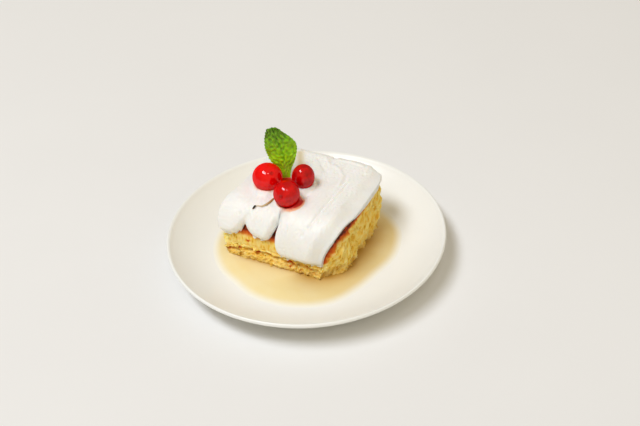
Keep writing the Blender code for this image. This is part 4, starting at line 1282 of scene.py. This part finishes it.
def under_cherries(points, layer):
    """Heights that rise to the cherries and stay just under them, and how far the painted peach glow and the
    red of syrup stain and painted shadow reach.
    """
    x, y, z = points.T
    peach_glow = np.zeros(len(x))
    red = np.zeros(len(x))
    for name, _, radii, turn, *_, peach_reach, red_reach, shadow_shift in CHERRIES:
        low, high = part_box(name)
        middle = (low + high) / 2 / MM
        away = ellipse_away(x - middle.x, y - middle.y, radii, turn)
        underside = middle.z - radii[2] * np.sqrt(np.clip(1.0 - away ** 2, 0.0, 1.0)) - CHERRY_CLEARANCE
        raised = z + COLLAR_HEIGHT * np.exp(-((away - COLLAR_AT) / COLLAR_WIDTH) ** 2) * layer
        z = np.where((away < 1.0) & (layer == 1), np.minimum(raised, underside), raised)
        shifted_away = ellipse_away(x - middle.x - shadow_shift[0], y - middle.y - shadow_shift[1], radii, turn)
        # Peach is a painted glow of light through the cherries; red is syrup stain together with each
        # cherry's painted shadow, shifted away from the lamp.
        peach_glow = np.maximum(peach_glow, smooth_step(peach_reach, PEACH_GLOW_INSIDE, away))
        peach_glow = np.maximum(peach_glow, smooth_step(red_reach + PEACH_GLOW_RIM, red_reach, shifted_away))
        red = np.maximum(red, smooth_step(red_reach, red_reach - RED_RIM, shifted_away))
    puddle_away = np.hypot(x - SHADED_SYRUP_PUDDLE[0], y - SHADED_SYRUP_PUDDLE[1])
    puddle = smooth_step(PUDDLE_REACH, 0.6 * PUDDLE_REACH, puddle_away)
    return z, peach_glow * layer, np.maximum(red, puddle) * layer


# %% The fine grid
def frosting_grid():
    """Places of the frosting's points and the numbers for its colours."""
    stations = frosting_stations()
    i, j, k, faces, _ = block_skin(len(stations) - 1, FROSTING_ROWS, 1)
    share, side, inset, out, up, drop = stations[i].T
    wide = share * REFERENCE_WIDTH
    start = hanging_edge(share) + 0.5 * waves([wide, 0.0 * wide], 3.0, 9)
    end = BACK_EDGE + BACK_HANG + 0.5 * waves([wide, 0.0 * wide], 6.0, 10)
    t = j / FROSTING_ROWS
    distance = blend(start, end, t - ROW_CROWDING * np.sin(math.tau * t) / math.tau)
    y, z, ny, nz = on_side_view(distance)
    nearer_middle = share - side * np.maximum(inset, 0.0) / REFERENCE_WIDTH
    x = blend(left_end(y), right_end(y), share)
    thickness = frosting_thickness(nearer_middle, distance, x - side * inset, y)
    under = GAP + CLEFT_CLEARANCE * np.exp(-((share - CLEFT_SHARE) / CLEFT_REACH) ** 2)
    hang = np.where(side < 0, LEFT_HANG, right_sag(y, RIGHT_HANG))
    lift = blend(np.where(k == 1, under + up * thickness, under), -hang, drop)
    edge_y = y + ny * np.minimum(lift, 0.0)
    x = np.select([side > 0, side < 0], [right_end(edge_y) - inset, left_end(edge_y) + inset], x)
    left_out = blend(LEFT_OVERHANG_FRONT, LEFT_OVERHANG_TOP, smooth_step(*LEFT_OVERHANG_CHANGE, distance))
    overhang = np.where(side > 0, right_sag(y, RIGHT_OVERHANG), left_out)
    fullness = np.minimum(thickness / TOP_THICKNESS, 1.0)
    x = x + np.where(k == 1, side * (out * overhang * fullness + EDGE_LEAN * drop), 0.0)
    inset_here = RIGHT_INSET * np.exp(-((y - RIGHT_INSET_Y) / RIGHT_INSET_REACH) ** 2)
    x = x - inset_here * smooth_step(*RIGHT_INSET_SHARES, share)
    points = np.stack([x, y + ny * lift, z + nz * lift], -1)
    points[:, 2], peach_glow, red = under_cherries(points, k)
    thin = smooth_step(*THIN_HEIGHTS, distance - start) * smooth_step(*THIN_SHARES, share) * k
    # Painted shadow of the leaf, tinted yellow-brown as if lit through the leaf.
    shade = np.exp(-(away_from_path(x, y, LEAF_SHADE) / LEAF_SHADE_WIDTH) ** 2) * k
    return points, faces, {"peach_glow": peach_glow, "red": red, "thin": thin, "shade": shade}


# %% [markdown]
# Frosting is white because light scatters in it, so it is given depth as well as colour. It is a little
# glossy from its fat and sugar. Crumb shows through where its lowest edge is thin. The leaf's shadow is
# painted on behind it in yellow-brown, and round the cherries the frosting is painted peach and red: partly
# syrup stain, partly a painted glow and a painted red shadow from the cherries.

# %% Frosting
WHITE_COLOURS = (linear(246, 246, 242), linear(242, 241, 236))
THIN_EDGE = linear(214, 208, 184)
LEAF_SHADOW_TINT = linear(202, 172, 92)
PEACH_GLOW = linear(255, 186, 148)
SYRUP_AND_SHADOW_RED = linear(204, 18, 16)


def frosting_material():
    material, tree = new_material("whipped_frosting", Roughness=0.42, IOR=1.42, Subsurface_Weight=0.6,
                                  Subsurface_Scale=0.0022, Subsurface_Radius=(1.0, 0.85, 0.7))
    thinned = tinted(tree, blotched(tree, 0.012, 0.6, *WHITE_COLOURS), "thin", 0.6, THIN_EDGE)
    # The leaf's painted shadow.
    shaded = tinted(tree, thinned, "shade", 0.6, LEAF_SHADOW_TINT)
    # Painted peach glow, and red that is syrup stain and painted shadow, round the cherries.
    peach_glow = mixed(tree, eased(tree, point_value(tree, "peach_glow"), 0.0, 0.7), shaded, PEACH_GLOW)
    return finished(material, mixed(tree, point_value(tree, "red"), peach_glow, SYRUP_AND_SHADOW_RED), 0.0011, 0.00012)


points, faces, values = frosting_grid()
show_as(mesh_piece("spread_frosting", points, faces, values, frosting_material()), "frosting")

# %% [markdown]
# ## Cherries
# Candied cherries are nearly round, with a shallow dimple where the stalk came out, and a faintly wrinkled,
# syrupy skin. One node tree makes all three: a cube is blown up to a ball, so that it has no poles, then
# pressed and wrinkled. Its inputs include the radii, the way that the dimple faces and the seed.

# %% A tree that makes a cherry
CHERRY_CELLS = 44
DIMPLE_EDGES = (0.982, 0.9995)
SHADED_UNDERSIDE_EDGES = (0.1, -0.9)
SWELL_SHARE = 1.6


def cherry_tree():
    sizes = {"Middle": (0.0, 0.0, 0.0), "Radii": (0.009, 0.009, 0.009), "Turn": 0.0,
             "Dimple Way": (1.0, 0.0, 0.0), "Dimple Depth": 0.001, "Wrinkle": 0.00008, "Seed": 0.0,
             "Brightness": 0.5, "Material": None}
    tree, start, end = geometry_tree("candied_cherry", sizes)
    feeds = {"Size": (2.0, 2.0, 2.0), **{"Vertices " + axis: CHERRY_CELLS for axis in "XYZ"}}
    cube = add(tree, "GeometryNodeMeshCube", feeds).outputs["Mesh"]
    place = own_place(tree)
    ball = moved(tree, cube, Position=vector_maths(tree, "NORMALIZE", place))
    facing = vector_maths(tree, "DOT_PRODUCT", place, vector_maths(tree, "NORMALIZE", start["Dimple Way"]))
    dimple = eased(tree, facing, *DIMPLE_EDGES)
    # How far down the ball a point is, for painted shade on the underside.
    underside = eased(tree, parts_of(tree, place)["Z"], *SHADED_UNDERSIDE_EDGES)
    out = times(tree, dimple, times(tree, start["Dimple Depth"], -1.0))
    for scale, detail, share in ((1.5, 1.0, SWELL_SHARE), (6.0, 3.0, 1.0)):
        feeds = {"Vector": place, "Scale": scale, "Detail": detail, "W": start["Seed"]}
        cloud = add(tree, "ShaderNodeTexNoise", feeds, noise_dimensions="4D").outputs["Fac"]
        wave = times(tree, minus(tree, cloud, 0.5), times(tree, start["Wrinkle"], share))
        out = plus(tree, out, wave)
    sized = vector_maths(tree, "MULTIPLY", place, start["Radii"])
    for label, value in (("dimple", dimple), ("brightness", start["Brightness"]), ("underside", underside)):
        ball = kept(tree, ball, label, value)
    shaped = moved(tree, ball, Position=vector_maths(tree, "ADD", sized, scaled(tree, place, out)))
    feeds = {"Geometry": shaped, "Translation": start["Middle"], "Rotation": combined(tree, Z=start["Turn"])}
    placed = add(tree, "GeometryNodeTransform", feeds).outputs[0]
    merged = add(tree, "GeometryNodeMergeByDistance", {"Geometry": placed, "Distance": 0.000001}).outputs[0]
    close_tree(tree, end, merged, start["Material"])
    return tree


# %% [markdown]
# The flesh is soaked in red syrup: light goes in and comes back deep red, and a clear wet coat gives
# small sharp highlights. The coat is weaker where it is seen aslant, which keeps the rims deep red. The
# underside is painted darker, as shade.

# %% Cherries
PALE_CHERRY = (linear(248, 6, 6), linear(224, 2, 4))
DEEP_CHERRY = (linear(214, 2, 6), linear(160, 0, 4))
CHERRY_SHADED_UNDERSIDE = linear(130, 0, 2)
CHERRY_DIMPLE = linear(90, 0, 2)


def cherry_material():
    material, tree = new_material("candied_cherry", Roughness=0.3, IOR=1.45, Subsurface_Weight=0.3,
                                  Subsurface_Scale=0.003, Subsurface_Radius=(1.0, 0.1, 0.06),
                                  Specular_IOR_Level=0.0, Coat_Roughness=0.02, Coat_IOR=1.5)
    seen_aslant = add(tree, "ShaderNodeLayerWeight", {"Blend": 0.5}).outputs["Facing"]
    coat = times(tree, minus(tree, 1.0, seen_aslant), 0.95)
    brightness = point_value(tree, "brightness")
    reds = [mixed(tree, brightness, deep, pale) for deep, pale in zip(DEEP_CHERRY, PALE_CHERRY)]
    # Painted shade: darker towards the underside.
    shaded_below = tinted(tree, blotched(tree, 0.005, 0.8, *reds), "underside", 0.25, CHERRY_SHADED_UNDERSIDE)
    dimpled = tinted(tree, shaded_below, "dimple", 0.4, CHERRY_DIMPLE)
    return finished(material, dimpled, 0.003, 0.00002, detail=1.0, Coat_Weight=coat)


def add_cherries():
    tree = cherry_tree()
    material = cherry_material()
    for seed, (name, _, radii, turn, way, depth, brightness, *_) in enumerate(CHERRIES):
        low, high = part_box(name)
        cherry = mesh_piece("candied_" + name, [(0, 0, 0)], [])
        turn = math.radians(turn)
        grow(cherry, tree, {"Middle": (low + high) / 2, "Radii": Vector(radii) * MM, "Turn": turn,
                            "Dimple Way": Matrix.Rotation(-turn, 3, "Z") @ Vector(way),
                            "Dimple Depth": depth * MM, "Seed": float(seed * 3),
                            "Brightness": brightness, "Material": material})
        show_as(cherry, name)


add_cherries()

# %% [markdown]
# ## Stalk
# The front cherry's dried stalk lies on the frosting: a thin bent rod, thicker where it held the cherry,
# with a dark knob where it was picked. It follows a path over the frosting, so a curve with a radius at
# each point, swept with a circle by a node tree, gives it in a few values.

# %% Stalk
# X, distance up the front and radius, from the dark knob to the cherry
STALK_PATH = (
    (-27.4, 37.7, 0.35), (-26.8, 38.7, 0.7), (-26.4, 39.4, 0.65), (-25.8, 39.8, 0.4), (-24.6, 40.1, 0.38),
    (-22.3, 40.4, 0.48), (-20.1, 42.0, 0.6), (-18.4, 43.9, 0.7), (-16.9, 46.0, 0.85), (-15.2, 48.3, 0.9),
)
STALK_LIFT = 0.05
# Colours along the stalk from the knob to the cherry; the near-white stretch beside the knob is a painted
# highlight.
STALK_STOPS_WITH_HIGHLIGHT = ((0.0, (16, 14, 14)), (0.13, (24, 20, 18)), (0.18, (226, 216, 196)), (0.42, (212, 188, 138)),
               (0.7, (170, 120, 60)), (1.0, (120, 52, 34)))
STALK_STREAKS = linear(140, 100, 60)


def stalk_tree():
    """Sweeps a circle along the incoming mesh's edges, as wide as 'thickness' says."""
    tree, start, end = geometry_tree("bent_stalk", {"Rings": 60, "Sides": 14, "Material": None})
    curve = add(tree, "GeometryNodeMeshToCurve", {"Mesh": start["Mesh"]}).outputs["Curve"]
    bent = add(tree, "GeometryNodeCurveSplineType", {"Curve": curve}, spline_type="CATMULL_ROM").outputs[0]
    even = add(tree, "GeometryNodeResampleCurve", {"Curve": bent, "Count": start["Rings"]}).outputs["Curve"]
    marked = kept(tree, even, "along", add(tree, "GeometryNodeSplineParameter").outputs["Factor"])
    feeds = {"Resolution": start["Sides"], "Radius": 1.0}
    circle = add(tree, "GeometryNodeCurvePrimitiveCircle", feeds).outputs[0]
    feeds = {"Curve": marked, "Profile Curve": circle, "Scale": named(tree, "thickness"), "Fill Caps": True}
    close_tree(tree, end, add(tree, "GeometryNodeCurveToMesh", feeds).outputs["Mesh"], start["Material"])
    return tree


def stalk_material():
    material, tree = new_material("dried_stalk", Roughness=0.6)
    colour = ramped(tree, point_value(tree, "along"), STALK_STOPS_WITH_HIGHLIGHT)
    return finished(material, blotched(tree, 0.0012, 0.12, colour, STALK_STREAKS), 0.0006, 0.0001)


def add_stalk():
    points = [above_frosting(x, distance, radius + STALK_LIFT) for x, distance, radius in STALK_PATH]
    stalk = mesh_piece("dried_stalk", points, [], {"thickness": [radius * MM for *_, radius in STALK_PATH]})
    steps = range(len(points) - 1)
    stalk.data.edges.add(len(steps))
    stalk.data.edges.foreach_set("vertices", [end for step in steps for end in (step, step + 1)])
    grow(stalk, stalk_tree(), {"Material": stalk_material()})
    show_as(stalk, "cherry_stalk")


add_stalk()

# %% [markdown]
# ## Mint leaf
# A mint leaf is quilted: it bulges between side veins that run from the midrib to the teeth of its edge.
# A subdivided sheet pushed about by hand could pass for it, but the pattern follows the leaf's own length
# and width, so both faces are worked out from those two numbers.

# %% Leaf form
LEAF_TURN = math.radians(29.0)
LEAF_LEAN = math.radians(11.0)
LEAF_LENGTH = 41.4
# Along the leaf, and how far its left and right edges are from its midrib
LEAF_OUTLINE = (
    (0.0, 3.2, 2.6), (0.07, 3.6, 3.0), (0.16, 4.6, 4.2), (0.28, 6.8, 6.6), (0.42, 9.4, 9.0),
    (0.52, 9.9, 10.2), (0.62, 9.8, 10.6), (0.7, 9.1, 9.4), (0.8, 7.6, 6.8), (0.87, 6.0, 5.2),
    (0.94, 4.4, 4.4), (0.98, 3.0, 2.6), (1.0, 1.0, 0.8),
)
LEAF_TIP_CURL = 3.0
LEAF_BOW = 2.4
LEAF_CUP = 2.2
LEAF_WAVE = 0.55
LEAF_TEETH = 18
LEAF_TOOTH = (1.2, 0.6)
LEAF_THICKNESS = 0.5
LEAF_STALK = 1.2
LEAF_END = 0.985
LEAF_QUILT = 0.5
LEAF_CRINKLE = 0.32
LEAF_VEINS = 7
VEIN_LEAN = 2.3
VEIN_WIDTH = 0.26
MIDRIB_WIDTH = 0.055
FOLD_DEPTH = 0.5
LEAF_GRID = (190, 72)
LEAF_WAVE_SCALE = (9.0, 40.0)


def leaf_surface(along, across, lift):
    """Points of the leaf, in its own frame: right, towards the viewer, up."""
    places, to_left, to_right = np.array(LEAF_OUTLINE).T
    width = np.where(across < 0, np.interp(along, places, to_left), np.interp(along, places, to_right))
    phase = (along * LEAF_TEETH) % 1.0
    tooth = phase ** 0.8 * (1.0 - phase ** 6) * np.where(across < 0, *LEAF_TOOTH)
    right = across * (width + tooth * np.abs(across) ** 4 * smooth_step(0.1, 0.3, along))
    right = right + LEAF_BOW * np.sin(math.pi * along)
    up = along * LEAF_LENGTH
    cup = -LEAF_CUP * np.abs(across) ** 1.5 * np.sin(math.pi * np.minimum(along * 1.1, 1.0))
    wave = LEAF_WAVE * np.sin(along * 19.0 + 2.0 * np.abs(across)) * np.abs(across)
    toward = cup - LEAF_TIP_CURL * along ** 3 + wave + lift
    lean_right, lean_up = math.cos(LEAF_LEAN), math.sin(LEAF_LEAN)
    return right * lean_right - up * lean_up, toward, right * lean_up + up * lean_right


def leaf_veins(along, across, leaf_places):
    """1 on the midrib, 1 on the side veins and how far places are between those, from 0 to 1."""
    rank = along * LEAF_VEINS - np.abs(across) * VEIN_LEAN + 0.22 * waves(leaf_places, 6.0, 33)
    side = np.abs(rank - np.round(rank)) * 2.0
    side_vein = np.exp(-(side / VEIN_WIDTH) ** 2) * smooth_step(0.03, 0.12, along)
    midrib = np.exp(-(across * (0.35 + along) / MIDRIB_WIDTH) ** 2)
    return midrib, side_vein, side


def leaf_grid():
    """Places of the leaf's points, its faces and the numbers for its colours."""
    rows, columns = LEAF_GRID
    i, j, k, faces, _ = block_skin(columns, rows, 1)
    along = LEAF_END * j / rows
    across = 2.0 * i / columns - 1.0
    leaf_places = [across * LEAF_WAVE_SCALE[0], along * LEAF_WAVE_SCALE[1]]
    midrib, side_vein, side = leaf_veins(along, across, leaf_places)
    crinkle = LEAF_CRINKLE * waves(leaf_places, 1.7, 31) * blend(0.4, 1.0, along)
    bulge = LEAF_QUILT * (side ** 0.7 - 0.5) * smooth_step(0.02, 0.3, np.abs(across))
    fade = smooth_step(0.0, 0.2, along) * smooth_step(1.02, 0.85, np.abs(across))
    quilt = (bulge + crinkle) * fade - FOLD_DEPTH * midrib * smooth_step(0.25, 0.45, along)
    face_out = np.where(k == 0, 0.5, -0.5) * LEAF_THICKNESS
    right, toward, up = leaf_surface(along, across, quilt + face_out)
    x = LEAF_FOOT[0] + right * math.cos(LEAF_TURN) + toward * math.sin(LEAF_TURN)
    y = LEAF_FOOT[1] + right * math.sin(LEAF_TURN) - toward * math.cos(LEAF_TURN)
    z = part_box("mint_leaf")[0].z / MM + LEAF_STALK * math.sin(LEAF_LEAN) + up
    vein = np.maximum(midrib * smooth_step(0.5, 0.2, along), 0.5 * side_vein)
    return np.stack([x, y, z], -1), faces, {"vein": vein, "along": along, "bulge": 0.5 + quilt}


# %% [markdown]
# The leaf is painted darker near its curled tip and in its hollows, as shade, and it is yellower near the
# stalk. Its veins are paler, and some of the light from behind comes through it.

# %% Leaf
RAISED_GREENS = (linear(190, 252, 22), linear(106, 158, 14))
SHADED_HOLLOW_GREENS = (linear(136, 210, 10), linear(40, 76, 8))
BLOTCH_GREEN = linear(104, 160, 10)
VEIN_GREEN = linear(190, 216, 90)


def leaf_material():
    material, tree = new_material("mint_green", Roughness=0.45, IOR=1.4, Subsurface_Weight=0.35,
                                  Subsurface_Scale=0.0012, Subsurface_Radius=(0.5, 1.0, 0.15))
    along = eased(tree, point_value(tree, "along"), 0.35, 0.95)
    shaded_hollow, raised = (mixed(tree, along, *greens) for greens in (SHADED_HOLLOW_GREENS, RAISED_GREENS))
    # Painted shade: darker in the hollows and towards the curled tip.
    green = mixed(tree, eased(tree, point_value(tree, "bulge"), 0.1, 0.85), shaded_hollow, raised)
    veined = tinted(tree, blotched(tree, 0.003, 0.3, green, BLOTCH_GREEN), "vein", 0.55, VEIN_GREEN)
    return finished(material, veined, 0.0009, 0.0002)


points, faces, values = leaf_grid()
show_as(mesh_piece("mint_leaf_veined", points, faces, values, leaf_material()), "mint_leaf")
